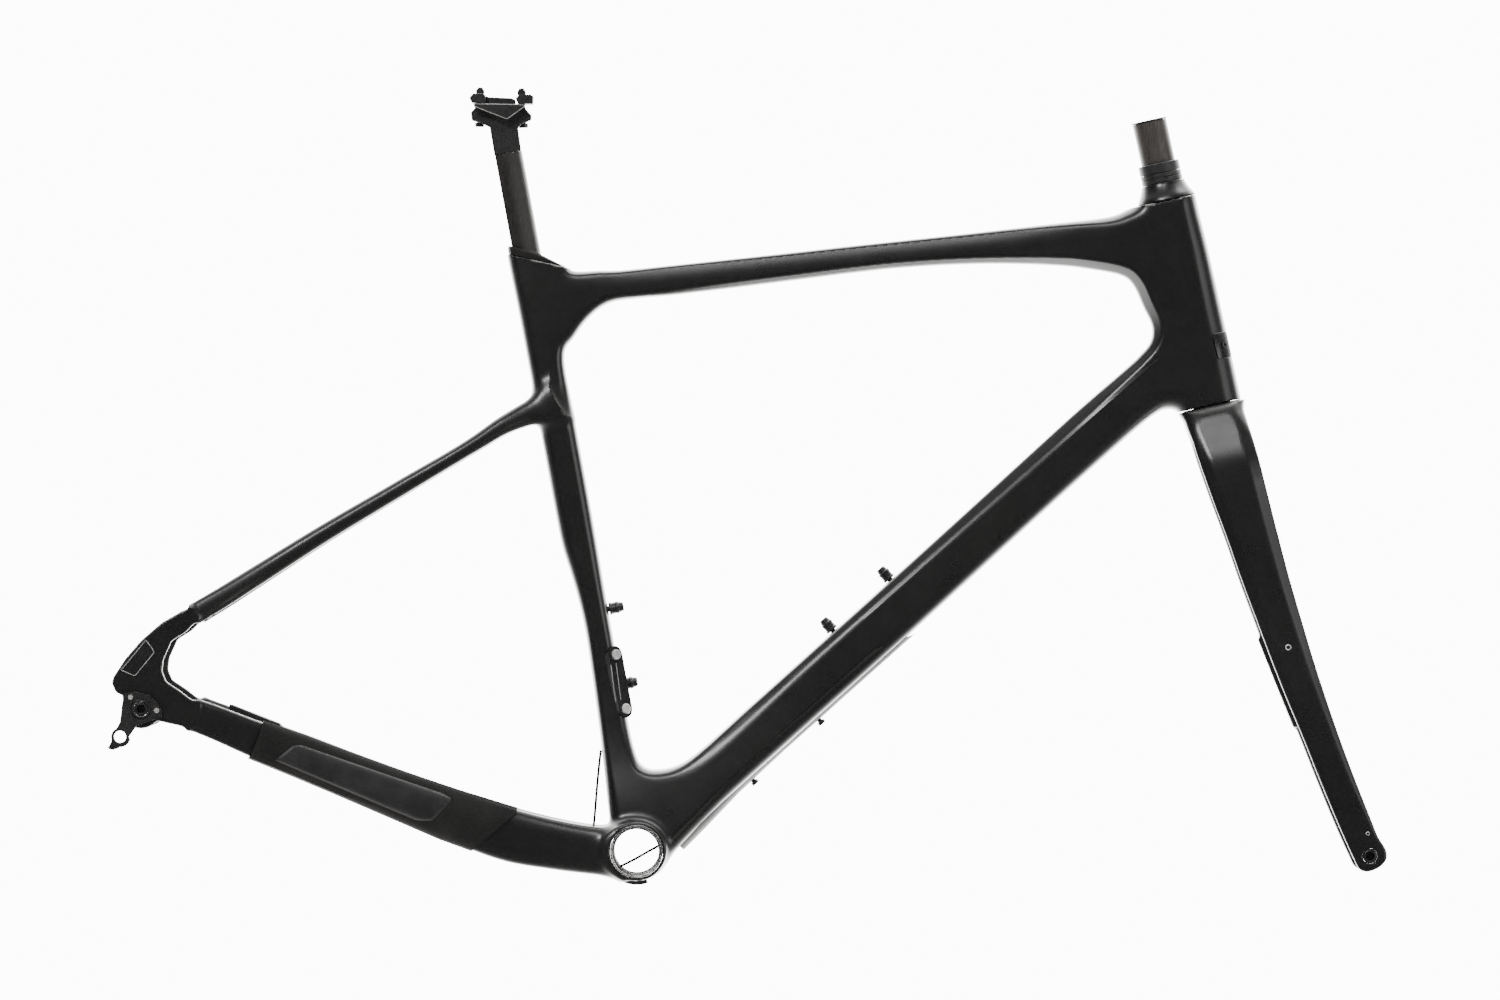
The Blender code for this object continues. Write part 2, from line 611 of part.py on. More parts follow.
def cable_port(steering):
    """The cover that the cables pass under, on the front right of the head tube."""
    low, high, middle = -0.1395, -0.1175, -0.1285
    radius = 0.0250
    spread = radians(18)
    thick = 0.0016
    rings = []
    for height in (low, low + 0.002, high - 0.002, high):
        inset = 0.82 if height in (low, high) else 1.0
        ring = []
        for grow, steps in ((0.0011, range(7)), (0.0011 + thick * inset, range(6, -1, -1))):
            for k in steps:
                angle = PORT_TURN - pi / 2 + spread * inset * (k / 3 - 1)
                ring.append(Vector(((radius + grow) * cos(angle), (radius + grow) * sin(angle), height)))
        rings.append(ring)
    made = ring_solid("cable_port_cover", rings, plastic(), steering)
    out = Vector((cos(PORT_TURN - pi / 2), sin(PORT_TURN - pi / 2), 0))
    surface = out * (radius + 0.0011 + thick) + Vector((0, 0, middle))
    cap_screw("cable_port_screw", surface + out * GAP, out, 0.0026, 0.0012, 0.0014, 0.0045,
              black_alloy(), steering)
    for target in (made, bpy.data.objects["head_tube"]):
        boolean(target, [rod_cutter(surface - out * 0.009, out, 0.0017, 0.02, steering, 12)])


def cable_guide():
    """A plate under the bottom bracket that leads the cables round it."""
    inner = BB_RADIUS + GAP
    outline = arc((0, 0), inner, 238, 296, 8) + arc((0, 0), inner + 0.0036, 296, 238, 8)
    plate("bottom_cable_guide", outline, -0.0150, 0.0150, plastic())


CABLE_RADIUS = 0.00105
REAR_LINER = [                  # from the yoke's top up behind the seat tube
    (-0.0380, -0.0120, 0.0103), (-0.0382, -0.0120, 0.0220), (-0.0386, -0.0119, 0.0340),
    (-0.0391, -0.0118, 0.0460), (-0.0395, -0.0117, 0.0580), (-0.0397, -0.0116, 0.0700),
    (-0.0397, -0.0115, 0.0800),
]
SHELL_LINER = [                 # through the bottom bracket shell into the down tube
    (-0.0160, 0.0, -0.0174), (-0.0110, 0.0, -0.0141), (-0.0060, 0.0, -0.0108), (0.0, 0.0, -0.0067),
    (0.0060, 0.0, -0.0023), (0.0115, 0.0, 0.0018), (0.0172, 0.0, 0.0058), (0.0266, 0.0, 0.0124),
]


def cable(name, points):
    """A round cord along a smooth route through these points."""
    curve = bpy.data.curves.new(name, "CURVE")
    curve.dimensions = "3D"
    curve.bevel_depth = CABLE_RADIUS
    curve.bevel_resolution = 2
    curve.use_fill_caps = True
    curve.materials.append(plastic())
    spline = curve.splines.new("POLY")
    spline.points.add(len(points) - 1)
    for point, spot in zip(spline.points, points):
        point.co = (*spot, 1.0)
    made = bpy.data.objects.new(name, curve)
    bpy.context.scene.collection.objects.link(made)


def liner_holes():
    """Where the liner passes through the shell's wall, behind and in front."""
    for outer, inner in ((SHELL_LINER[0], SHELL_LINER[2]), (SHELL_LINER[7], SHELL_LINER[5])):
        out = Vector(outer) - Vector(inner)
        drill("bottom_bracket_shell", inner, out, None, CABLE_RADIUS + 0.0006, 0.0200)


COVER_NOSE = 0.0305             # the clamp cover's front tip, from the seat tube's centre line
COVER_HEEL = 0.0142
COVER_HALF_WIDTH = 0.0172
COVER_HEIGHT = 0.0072
WEDGE_TOP = 0.4905
WEDGE_SCREW_X = 0.0172


def cover_outline():
    """Square behind the post, and drawn out in front into a nose over the top tube."""
    squareness = 0.45
    outline = []
    for i in range(TUBE_SIDES):
        angle = 2 * pi * i / TUBE_SIDES
        c, s = cos(angle), sin(angle)
        if c > 0:
            outline.append((COVER_NOSE * c ** 1.25, COVER_HALF_WIDTH * s))
        else:
            corner = copysign(abs(s) ** squareness, s)
            outline.append((-COVER_HEEL * abs(c) ** squareness, COVER_HALF_WIDTH * corner))
    return outline


def cover_ring(outline, share):
    """The outline at a share of the cover's height, which falls away towards the nose."""
    floor = SEAT_TUBE_LENGTH + GAP
    ring = []
    for x, y in outline:
        height = COVER_HEIGHT * min(1.0, max(0.12, (COVER_NOSE - x) / 0.022))
        ring.append(Vector((x, y, floor + SEAT_TOP_SLOPE * x + share * height)))
    return ring


def seat_clamp(seat_axis):
    """The rubber cover on the seat cluster, and the wedge and screw that grip the post."""
    outer = cover_outline()
    inset = [(x * 0.93, y * 0.93) for x, y in outer]
    bore = post_outline(GAP)
    rings = [cover_ring(outer, 0.0), cover_ring(outer, 0.7), cover_ring(inset, 1.0), cover_ring(bore, 1.0),
             cover_ring(bore, 0.0)]
    cover = ring_solid("seat_clamp_cover", rings, rubber(), seat_axis, closed=True)
    foot, back, half_width = 0.4730, 0.0131, 0.0078
    outline = [(back, foot), (0.0230, foot), (0.0200, WEDGE_TOP), (back, WEDGE_TOP)]
    wedge = plate("seat_clamp_wedge", outline, -half_width, half_width, black_alloy(), seat_axis)
    start = (WEDGE_SCREW_X, 0, WEDGE_TOP + GAP)
    cap_screw("seat_clamp_screw", start, (0, 0, 1), 0.0040, 0.0032, 0.0020, 0.0150, black_alloy(), seat_axis)
    hole = rod_cutter((WEDGE_SCREW_X, 0, 0.46), (0, 0, 1), 0.0024, 0.06, seat_axis, SCREW_SIDES)
    boolean(wedge, [hole])
    boolean(cover, [hole])


# ---- headset and fork, in the steering frame ----
STEERER_TOP = 0.0672
CROWN_TOP = -0.1778


def headset(steering):
    """Bearings in the head tube, and the parts that preload them from above."""
    z = (0, 0, 1)
    depth = UPPER_SEAT[1]
    profile = [(UPPER_SEAT[0] - GAP, -0.0008), (UPPER_SEAT[0] - GAP, GAP - depth), (0.0170, GAP - depth),
               (0.0170, -0.0008)]
    turned("upper_headset_bearing", profile, (0, 0, 0), z, silver_steel(), steering, closed=True)
    low = -HEAD_TUBE_LENGTH
    profile = [(LOWER_SEAT[0] - GAP, low + GAP), (LOWER_SEAT[0] - GAP, low + LOWER_SEAT[1] - GAP),
               (0.0176, low + LOWER_SEAT[1] - GAP), (0.0176, low + GAP)]
    turned("lower_headset_bearing", profile, (0, 0, 0), z, silver_steel(), steering, closed=True)
    bore = STEERER_RADIUS + GAP
    profile = [(bore, -0.0060), (0.0167, -0.0060), (0.0167, 0.0006), (0.0240, 0.0006), (0.0240, 0.0016),
               (0.0215, 0.0046), (0.0195, 0.0088), (0.0182, 0.0136), (0.0180, 0.0149), (bore, 0.0149)]
    turned("headset_cover", profile, (0, 0, 0), z, black_alloy(), steering, closed=True)
    spacer("headset_spacer_lower", 0.0152, 0.0233, (0.0042,), steering)
    spacer("headset_spacer_upper", 0.0236, STEERER_TOP - 0.0355, (), steering)
    profile = [(0.0163, CROWN_TOP + GAP), (0.0238, CROWN_TOP + GAP), (0.0238, low - GAP - 0.0002),
               (0.0163, low - GAP - 0.0002)]
    turned("crown_race", profile, (0, 0, 0), z, black_alloy(), steering, closed=True)


def spacer(name, low, high, grooves, steering):
    """A ring round the steerer, with grooves cut round it at these heights above its foot."""
    outer, bore, cut = 0.0172, STEERER_RADIUS + GAP, 0.0005
    profile = [(bore, low), (outer - cut, low), (outer, low + cut)]
    for groove in grooves:
        middle = low + groove
        profile += [(outer, middle - cut), (outer - cut, middle), (outer, middle + cut)]
    profile += [(outer, high - cut), (outer - cut, high), (bore, high)]
    turned(name, profile, (0, 0, 0), (0, 0, 1), black_alloy(), steering, closed=True)


def steerer(steering):
    wide = 0.0159
    bore = 0.0118
    foot = CROWN_TOP + GAP
    profile = [(wide, foot), (wide, foot + 0.030), (STEERER_RADIUS, foot + 0.075),
               (STEERER_RADIUS, STEERER_TOP), (bore, STEERER_TOP), (bore, foot)]
    turned("steerer_tube", profile, (0, 0, 0), (0, 0, 1), raw_carbon(), steering, closed=True)
    plug = bore - GAP
    profile = [(0.0030, 0.020), (plug, 0.020), (plug, STEERER_TOP + GAP), (0.0152, STEERER_TOP + GAP),
               (0.0152, STEERER_TOP + 0.0014), (0.0030, STEERER_TOP + 0.0014)]
    turned("compression_plug", profile, (0, 0, 0), (0, 0, 1), black_alloy(), steering, 18, hexes=(0, 5),
           closed=True)


def fork(steering):
    steerer(steering)
    outer = []
    inner = []
    for height, middle, deep, wide in CROWN:
        outer.append(level_ring(oval(deep, wide, 2.3, 24, middle), height))
        inner.append(level_ring(oval(0.0118, 0.0118, 2.0, 24), height))
    hollow("fork_crown", outer, inner, paint(), steering)
    for name, side in (("right", -1), ("left", 1)):
        rings = []
        for height, middle, deep, centre, thick in FORK_LEG:
            outline = oval(deep, thick, 2.6, 16, middle)
            rings.append([Vector((x, side * centre + y, height)) for x, y in outline])
        leg = ring_solid("fork_leg_" + name, rings, paint(), steering)
        boolean(leg, [fork_end(side, steering)], "UNION")
        if side > 0:
            boolean(leg, [front_brake_pad(steering)], "UNION")
        start = (FORK_RAKE, -0.1, -AXLE_DEPTH)
        boolean(leg, [rod_cutter(start, (0, 1, 0), AXLE_RADIUS + GAP, 0.2, steering)])


def fork_end(side, steering):
    """The tip of a leg, flat on both sides round the axle."""
    low, high = sorted((side * FRONT_SPACING / 2, side * (FRONT_SPACING / 2 + FORK_END_THICKNESS)))
    foot, x = FORK_LEG[-1][0] + 0.006, FORK_LEG[-1][1]
    half = FORK_LEG[-1][2] - 0.0008
    tip = arc((FORK_RAKE, -AXLE_DEPTH), 0.0137, 175, 365, 12)
    outline = [(x + half - 0.001, foot), (x - half, foot)] + tip
    return plate("cutter", outline, low, high, None, steering)


FRONT_PAD = (0.0033, 0.0465, -0.4150)       # middle of the front brake's flat face
FRONT_PAD_LEAN = radians(-9.5)


def front_brake_pad(steering):
    """The flat block behind the left leg that a disc brake caliper bolts to."""
    frame = axis_empty("front_brake_frame", FRONT_PAD, FRONT_PAD_LEAN, steering)
    return box_cutter((0.0, -0.0055, -0.0400), (0.0100, 0.0055, 0.0400), frame)


def thru_axle(name, start, length, parent):
    """A hollow axle that slides in from the left, with a head on that side."""
    bore, head = 0.0035, 0.0095
    profile = [(bore, 0.0), (AXLE_RADIUS - 0.0006, 0.0), (AXLE_RADIUS, 0.0008), (AXLE_RADIUS, length),
               (head, length), (head, length + 0.0050), (head - 0.0012, length + 0.0062),
               (bore, length + 0.0062)]
    turned(name, profile, start, (0, 1, 0), black_alloy(), parent, closed=True)


def thru_axles(steering):
    inset = 0.0008
    low = HANGER_Y - HANGER_THICKNESS + inset
    high = REAR_SPACING / 2 + DROPOUT_THICKNESS + GAP
    thru_axle("rear_thru_axle", (REAR_AXLE[0], low, REAR_AXLE[1]), high - low, None)
    low = -(FRONT_SPACING / 2 + FORK_END_THICKNESS) + inset
    high = FRONT_SPACING / 2 + FORK_END_THICKNESS + GAP
    thru_axle("front_thru_axle", (FORK_RAKE, low, -AXLE_DEPTH), high - low, steering)


# ---- seatpost and saddle clamp ----
CLAMP_PIVOT = (-0.18871, 0.0, 0.61844)      # the cradle's arc is centred here
CLAMP_TILT = radians(5.7)
CLAMP_RADIUS = 0.0245
RAIL_LEVEL = -0.0125            # the cradle's flat top, below the pivot
HEAD_HALF_WIDTH = 0.0122
BOLT_RADIUS = 0.0022
BOLT_SEAT = -0.0282             # the underside of each bolt's head, below the pivot
NUT_RADIUS = 0.0036
NUT_RISE = 0.0256               # from that underside to the barrel nut's axis
# Each clamp bolt: its place along the clamp, its lean, its slot in the head, the bar it pulls on.
CLAMP_BOLTS = (
    ("rear", -0.0172, 0.0, (-0.0302, -0.0084), (-0.0258, -0.0125)),
    ("front", 0.0195, 0.08, (0.0090, 0.0325), (0.0128, 0.0275)),
)


def to_clamp(x, height):
    """A point of the seat frame's X and Z plane, in the clamp's frame."""
    leaned = Matrix.Rotation(SEAT_LEAN, 3, "Y") @ Vector((x, 0, height))
    spot = Matrix.Rotation(CLAMP_TILT, 3, "Y") @ (leaned - Vector(CLAMP_PIVOT))
    return spot.x, spot.z


def saddle_arc(radius, half_width):
    """The part of a circle about the pivot that lies below it, between two ends."""
    start = degrees(asin(half_width / radius))
    return arc((0, 0), radius, -90 - start, -90 + start, 16)


def seatpost(seat_axis, clamp):
    outer = post_outline()
    inner = post_outline(-0.0022)
    rings = [level_ring(outer, POST_BOTTOM), level_ring(outer, POST_TOP)]
    bores = [level_ring(inner, POST_BOTTOM), level_ring(inner, POST_TOP)]
    hollow("seatpost_tube", rings, bores, raw_carbon(), seat_axis)
    top = saddle_arc(CLAMP_RADIUS + 0.0004, 0.0201)
    front = [(0.0262, -0.0215), (0.0258, -0.0252), (0.0190, -0.0284), (0.0150, -0.0320)]
    neck = [to_clamp(0.0118, POST_TOP + GAP), to_clamp(-0.0108, POST_TOP + GAP)]
    back = [(-0.0085, -0.0320), (-0.0150, -0.0290), (-0.0235, -0.0265), (-0.0246, -0.0200)]
    outline = top + front + neck + back
    made = plate("seatpost_head", outline, -HEAD_HALF_WIDTH, HEAD_HALF_WIDTH, black_alloy(), clamp)
    for _, _, _, (low, high), _ in CLAMP_BOLTS:
        slot = box_cutter((low, -0.0031, -0.0300), (high, 0.0031, 0.0), clamp)
        pocket = box_cutter((low, -0.0046, -0.0365), (high, 0.0046, BOLT_SEAT + 0.0034), clamp)
        boolean(made, [slot, pocket])


def saddle_clamp(clamp):
    """The cradle that tilts on the post's head, and the two bars that hold the saddle's rails."""
    ear = 0.0205
    outline = saddle_arc(CLAMP_RADIUS, ear) + [(ear, RAIL_LEVEL), (-ear, RAIL_LEVEL)]
    cradle = plate("saddle_cradle", outline, -HEAD_HALF_WIDTH, HEAD_HALF_WIDTH, black_alloy(), clamp)
    wing = [(-0.0220, RAIL_LEVEL), (0.0190, RAIL_LEVEL), (0.0210, -0.0144), (0.0060, -0.0256),
            (-0.0220, -0.0153)]
    slab = [(-0.0180, RAIL_LEVEL), (0.0180, RAIL_LEVEL), (0.0180, -0.0158), (-0.0180, -0.0158)]
    wing_inner, wing_outer = 0.0218, 0.0260
    boolean(cradle, [
        plate("cutter", slab, -0.0240, 0.0240, None, clamp),
        plate("cutter", wing, -wing_outer, -wing_inner, None, clamp),
        plate("cutter", wing, wing_inner, wing_outer, None, clamp),
    ], "UNION")
    for name, x, lean, _, (low, high) in CLAMP_BOLTS:
        up = Vector((-sin(lean), 0, cos(lean)))
        foot = Vector((x, 0, BOLT_SEAT))
        bolt_hole = rod_cutter(foot, up, BOLT_RADIUS + 0.0004, 0.05, clamp, SCREW_SIDES)
        boolean(cradle, [bolt_hole])
        floor, top = RAIL_LEVEL + GAP, -0.0044
        bar = [(low + 0.002, floor), (high, floor), (high, top - 0.0012), (high - 0.002, top),
               (low + 0.003, top), (low, top - 0.0036)]
        made = plate("rail_clamp_" + name, bar, -0.0265, 0.0265, black_alloy(), clamp)
        spot = foot + up * NUT_RISE
        start = (spot.x, -0.0070, spot.z)
        groove = rod_cutter((spot.x, -0.0074, spot.z), (0, 1, 0), NUT_RADIUS + 0.0004, 0.0148, clamp)
        boolean(made, [bolt_hole, groove])
        nut = turned("barrel_nut_" + name, [(NUT_RADIUS, 0.0), (NUT_RADIUS, 0.0140)], start, (0, 1, 0),
                     black_alloy(), clamp)
        boolean(nut, [bolt_hole])
        cap_screw("clamp_bolt_" + name, foot, -up, 0.0040, 0.0036, BOLT_RADIUS, NUT_RISE + 0.0040,
                  black_alloy(), clamp)


def main():
    clear_scene()
    seat_axis = axis_empty("seat_axis", (0, 0, 0), SEAT_LEAN)
    steering = axis_empty("steering_axis", (REACH, 0, STACK), HEAD_LEAN)
    head_tube(steering)
    main_tubes(seat_axis, steering)
    bottom_bracket()
    stays(seat_axis)
    dropouts()
    hanger()
    dropout_cover()
    chainstay_protector()
    down_tube_guard()
    bottle_bolts(seat_axis)
    guard_bolts()
    front_mech_cover(seat_axis)
    cable_port(steering)
    cable_guide()
    cable("rear_cable_liner", REAR_LINER)
    cable("shell_cable_liner", SHELL_LINER)
    liner_holes()
    seat_clamp(seat_axis)
    headset(steering)
    fork(steering)
    thru_axles(steering)
    clamp = axis_empty("saddle_clamp_axis", CLAMP_PIVOT, -CLAMP_TILT)
    seatpost(seat_axis, clamp)
    saddle_clamp(clamp)


main()
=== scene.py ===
"""The looks of the bicycle frameset: its smooth carbon skins, fittings, materials, light and camera."""
from math import asin, cos, pi, radians, sin

import bmesh
import bpy
import numpy as np
import openvdb
from mathutils import Matrix, Vector
from mathutils.bvhtree import BVHTree


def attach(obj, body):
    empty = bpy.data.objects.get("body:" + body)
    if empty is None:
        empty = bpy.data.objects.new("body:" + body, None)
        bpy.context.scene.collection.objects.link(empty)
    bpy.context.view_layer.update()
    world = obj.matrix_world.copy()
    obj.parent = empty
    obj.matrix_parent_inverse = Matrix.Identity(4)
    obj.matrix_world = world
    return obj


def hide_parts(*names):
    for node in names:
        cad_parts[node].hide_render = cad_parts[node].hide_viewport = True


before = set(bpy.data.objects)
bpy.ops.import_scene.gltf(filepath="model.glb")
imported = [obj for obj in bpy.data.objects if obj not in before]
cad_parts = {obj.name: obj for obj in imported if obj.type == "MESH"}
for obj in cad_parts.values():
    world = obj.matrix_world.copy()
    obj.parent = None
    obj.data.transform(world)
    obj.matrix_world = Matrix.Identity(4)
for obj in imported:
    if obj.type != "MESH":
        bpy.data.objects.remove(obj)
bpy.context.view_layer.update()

# ---- driving dimensions, the same as the CAD's ----
STACK, REACH = 0.5927, 0.3751
HEAD_LEAN = radians(70.7 - 90)
SEAT_LEAN = radians(72.64 - 90)
HEAD_LENGTH = 0.1752
SEAT_TOP, SEAT_TOP_SLOPE = 0.5035, -0.43
REAR_AXLE = (-0.423, 0.0695)
FORK_RAKE, AXLE_DEPTH = 0.0461, 0.5703
AXLE_RADIUS = 0.006
DROPOUT_Y, DROPOUT_THICKNESS = 0.075, 0.008
BB_RADIUS, BB_HALF_WIDTH = 0.0245, 0.043

# ---- the skins, the small edges and the studio ----
FRAME_VOXEL, FORK_VOXEL = 0.002, 0.0016
HEAD_BORE, FORK_BORE, SHELL_BORE, AXLE_HOLE = 0.0165, 0.0163, 0.0221, AXLE_RADIUS + 0.0003
POST_BORE, POST_BACK, POST_FOOT = 0.0137, -0.0108, 0.3
FORK_ARCH, FORK_TOP, FORK_SLOT = -0.2225, -0.1762, 0.0252
FINE_EDGE = 0.0002
FLOOR_HEIGHT = -0.3
LIGHT, WHITE = 12.0, 16.0            # of the studio round the object, and of what the camera sees
LIGHTS_AIM = (0.1, 0.0, 0.4)

STEERING = Matrix.Translation((REACH, 0, STACK)) @ Matrix.Rotation(HEAD_LEAN, 4, "Y")
SEAT = Matrix.Rotation(SEAT_LEAN, 4, "Y")
CLAMP_PIVOT = Vector((-0.18871, 0.0, 0.61844))
CLAMP = Matrix.Translation(CLAMP_PIVOT) @ Matrix.Rotation(-radians(5.7), 4, "Y")
WORLD = Matrix.Identity(4)
BRAKE_BLOCK = Matrix.Translation((-0.333, 0.06, 0.07)) @ Matrix.Rotation(radians(14.8), 4, "Y")
FRONT_BLOCK = Matrix.Translation((0.0083, 0.0465, -0.4142)) @ Matrix.Rotation(radians(-9.5), 4, "Y")


def linked(name, data):
    """A new object in the scene."""
    made = bpy.data.objects.new(name, data)
    bpy.context.scene.collection.objects.link(made)
    return made


# ---- camera ----
def add_camera():
    """Far off on the chain side, rolled so that the bicycle leans a little to the right."""
    distance, field = 14.0, 1.2545
    roll = radians(6.85)
    aim = Vector((0.0591, 0.0, 0.3024))
    right = Vector((cos(roll), 0, sin(roll)))
    up = Vector((-sin(roll), 0, cos(roll)))
    back = right.cross(up)
    data = bpy.data.cameras.new("camera")
    data.sensor_width = 36.0
    data.lens = data.sensor_width * distance / field
    data.clip_end = 60.0
    made = linked("camera", data)
    place = Matrix((right, up, back)).transposed().to_4x4()
    place.translation = aim + back * distance
    made.matrix_world = place
    bpy.context.scene.camera = made


# ---- materials ----
def put(tree, socket, value):
    """Link another node's output to a socket, or write a number or a colour into it."""
    if isinstance(value, bpy.types.NodeSocket):
        tree.links.new(value, socket)
    else:
        socket.default_value = (*value, 1.0) if socket.type == "RGBA" else value


def add(tree, kind, **inputs):
    """A new shader node; an underscore stands for the space in an input's name."""
    node = tree.nodes.new("ShaderNode" + kind)
    for key, value in inputs.items():
        put(tree, node.inputs[key.replace("_", " ")], value)
    return node


class Nodes:
    """A short way to write a material's nodes."""

    def __init__(self, name):
        self.made = bpy.data.materials.new(name)
        self.made.use_nodes = True
        self.tree = self.made.node_tree
        self.shader = self.tree.nodes["Principled BSDF"]
        self.place = add(self.tree, "TexCoord").outputs["Object"]

    def noise(self, scale, detail=4.0, stretch=None, turn=(0.0, 0.0, 0.0)):
        """Noise between 0 and 1; stretch scales it along each axis."""
        where = self.place
        if stretch:
            where = add(self.tree, "Mapping", Vector=where, Scale=stretch, Rotation=turn).outputs["Vector"]
        return add(self.tree, "TexNoise", Vector=where, Scale=scale, Detail=detail).outputs["Fac"]

    def span(self, value, low=0.0, high=1.0, start=0.3, end=0.7):
        """A value between start and end, spread between low and high."""
        node = add(self.tree, "MapRange", Value=value, From_Min=start, From_Max=end, To_Min=low, To_Max=high)
        return node.outputs["Result"]

    def mix(self, share, first, second):
        node = self.tree.nodes.new("ShaderNodeMix")
        node.data_type = "RGBA"
        for key, value in (("Factor", share), ("A", first), ("B", second)):
            put(self.tree, node.inputs[key], value)
        return node.outputs["Result"]

    def bump(self, height, strength, distance):
        node = add(self.tree, "Bump", Height=height, Strength=strength, Distance=distance)
        put(self.tree, self.shader.inputs["Normal"], node.outputs["Normal"])

    def finish(self, color, roughness, metallic=0.0, **others):
        others.update(Base_Color=color, Roughness=roughness, Metallic=metallic)
        for key, value in others.items():
            put(self.tree, self.shader.inputs[key.replace("_", " ")], value)
        return self.made

    def follow(self, noise, dark, light, rough, bump, metallic=0.0, **others):
        """Colour and roughness that follow one noise; bump is its height, strength and distance."""
        self.bump(*bump)
        color = self.mix(self.span(noise), dark, light)
        return self.finish(color, self.span(noise, *rough), metallic, **others)


def satin_paint():
    m = Nodes("satin_paint")
    cloud, grain, dust = m.noise(9.0), m.noise(600.0, 2.0), m.noise(160.0, 6.0)
    scuff = m.span(dust, 0.0, 0.16, 0.64, 0.8)
    color = m.mix(m.span(cloud), (0.0046, 0.0045, 0.0047), (0.0072, 0.0069, 0.0068))
    color = m.mix(scuff, color, (0.018, 0.017, 0.016))
    m.bump(grain, 0.02, 0.0001)
    return m.finish(color, m.span(m.noise(45.0), 0.27, 0.32), Coat_Weight=0.15, Coat_Roughness=0.18)


def raw_carbon(name="raw_carbon", dark=(0.017, 0.014, 0.013), light=(0.044, 0.038, 0.034)):
    m = Nodes(name)
    turn = (0.0, -SEAT_LEAN, 0.0)
    streak = m.noise(700.0, 4.0, (1.0, 1.0, 0.04), turn)
    patch = m.noise(60.0, 3.0)
    color = m.mix(m.span(streak), dark, light)
    color = m.mix(m.span(patch, 0.0, 0.4), color, (0.02, 0.017, 0.015))
    m.bump(streak, 0.1, 0.0002)
    return m.finish(color, m.span(patch, 0.36, 0.46))


def post_carbon():
    return raw_carbon("post_carbon", (0.005, 0.0045, 0.0041), (0.013, 0.0115, 0.01))


def rubber():
    m = Nodes("rubber")
    return m.follow(m.noise(30.0), (0.0065, 0.006, 0.006), (0.011, 0.0105, 0.01), (0.46, 0.56),
                    (m.noise(1400.0, 3.0), 0.2, 0.0003), Specular_IOR_Level=0.16)


def plastic():
    m = Nodes("plastic")
    return m.follow(m.noise(50.0), (0.008, 0.008, 0.008), (0.013, 0.013, 0.013), (0.38, 0.48),
                    (m.noise(1100.0, 3.0), 0.15, 0.0002))


def gloss_plastic():
    m = Nodes("gloss_plastic")
    return m.follow(m.noise(60.0), (0.007, 0.007, 0.007), (0.01, 0.01, 0.011), (0.16, 0.24),
                    (m.noise(500.0, 2.0), 0.05, 0.0002))


def black_alloy():
    m = Nodes("black_alloy")
    brushed = m.noise(500.0, 5.0, (1.0, 0.08, 1.0))
    patch = m.noise(70.0)
    color = m.mix(m.span(patch), (0.0065, 0.0065, 0.007), (0.011, 0.0106, 0.0103))
    worn = m.span(m.noise(300.0, 6.0), 0.0, 0.3, 0.68, 0.84)
    color = m.mix(worn, color, (0.03, 0.029, 0.028))
    m.bump(brushed, 0.06, 0.0001)
    return m.finish(color, m.span(brushed, 0.26, 0.36), IOR=1.65)


def silver_steel():
    m = Nodes("silver_steel")
    brushed = m.noise(900.0, 4.0)
    return m.follow(brushed, (0.6, 0.59, 0.58), (0.8, 0.79, 0.77), (0.26, 0.4),
                    (brushed, 0.12, 0.0001), 0.8)


def bare_alloy():
    m = Nodes("bare_alloy")
    turned = m.noise(260.0, 3.0, (1.0, 9.0, 1.0))
    return m.follow(turned, (0.3, 0.3, 0.3), (0.58, 0.57, 0.56), (0.22, 0.36),
                    (turned, 0.15, 0.0001), 1.0)


def liner_black():
    m = Nodes("liner_black")
    streak = m.noise(400.0, 3.0, (1.0, 1.0, 0.1))
    return m.follow(streak, (0.006, 0.006, 0.006), (0.011, 0.011, 0.011), (0.6, 0.7),
                    (streak, 0.1, 0.0001), Specular_IOR_Level=0.0)


# Light grey for the fine lines along cover and clamp edges: a painted highlight, standing in for the light
# those edges catch.
def painted_highlight_grey():
    m = Nodes("painted_highlight_grey")
    patch = m.noise(200.0)
    color = m.mix(m.span(patch), (0.16, 0.155, 0.15), (0.24, 0.235, 0.23))
    m.bump(patch, 0.1, 0.0001)
    return m.finish(color, 0.5)


# ---- curves and outlines ----
def curve(at, points):
    """A smooth curve through (place, value) points, read at these places."""
    places, values = np.array(points, float).T
    slopes = np.gradient(values, places)
    i = np.clip(np.searchsorted(places, at) - 1, 0, len(places) - 2)
    span = places[i + 1] - places[i]
    t = np.clip((at - places[i]) / span, 0.0, 1.0)
    a, b = values[i], values[i + 1]
    ta, tb = slopes[i] * span, slopes[i + 1] * span
    return (2 * t ** 3 - 3 * t ** 2 + 1) * a + (t ** 3 - 2 * t ** 2 + t) * ta \
        + (3 * t ** 2 - 2 * t ** 3) * b + (t ** 3 - t ** 2) * tb


def smooth_loop(points, steps=6):
    """A closed smooth line through these points."""
    points = np.array(points, float)
    before, after, beyond = np.roll(points, 1, 0), np.roll(points, -1, 0), np.roll(points, -2, 0)
    made = []
    for k in range(steps):
        t = k / steps
        made.append(0.5 * (2 * points + (after - before) * t
                           + (2 * before - 5 * points + 4 * after - beyond) * t ** 2
                           + (3 * points - before - 3 * after + beyond) * t ** 3))
    return np.stack(made, 1).reshape(-1, 2)


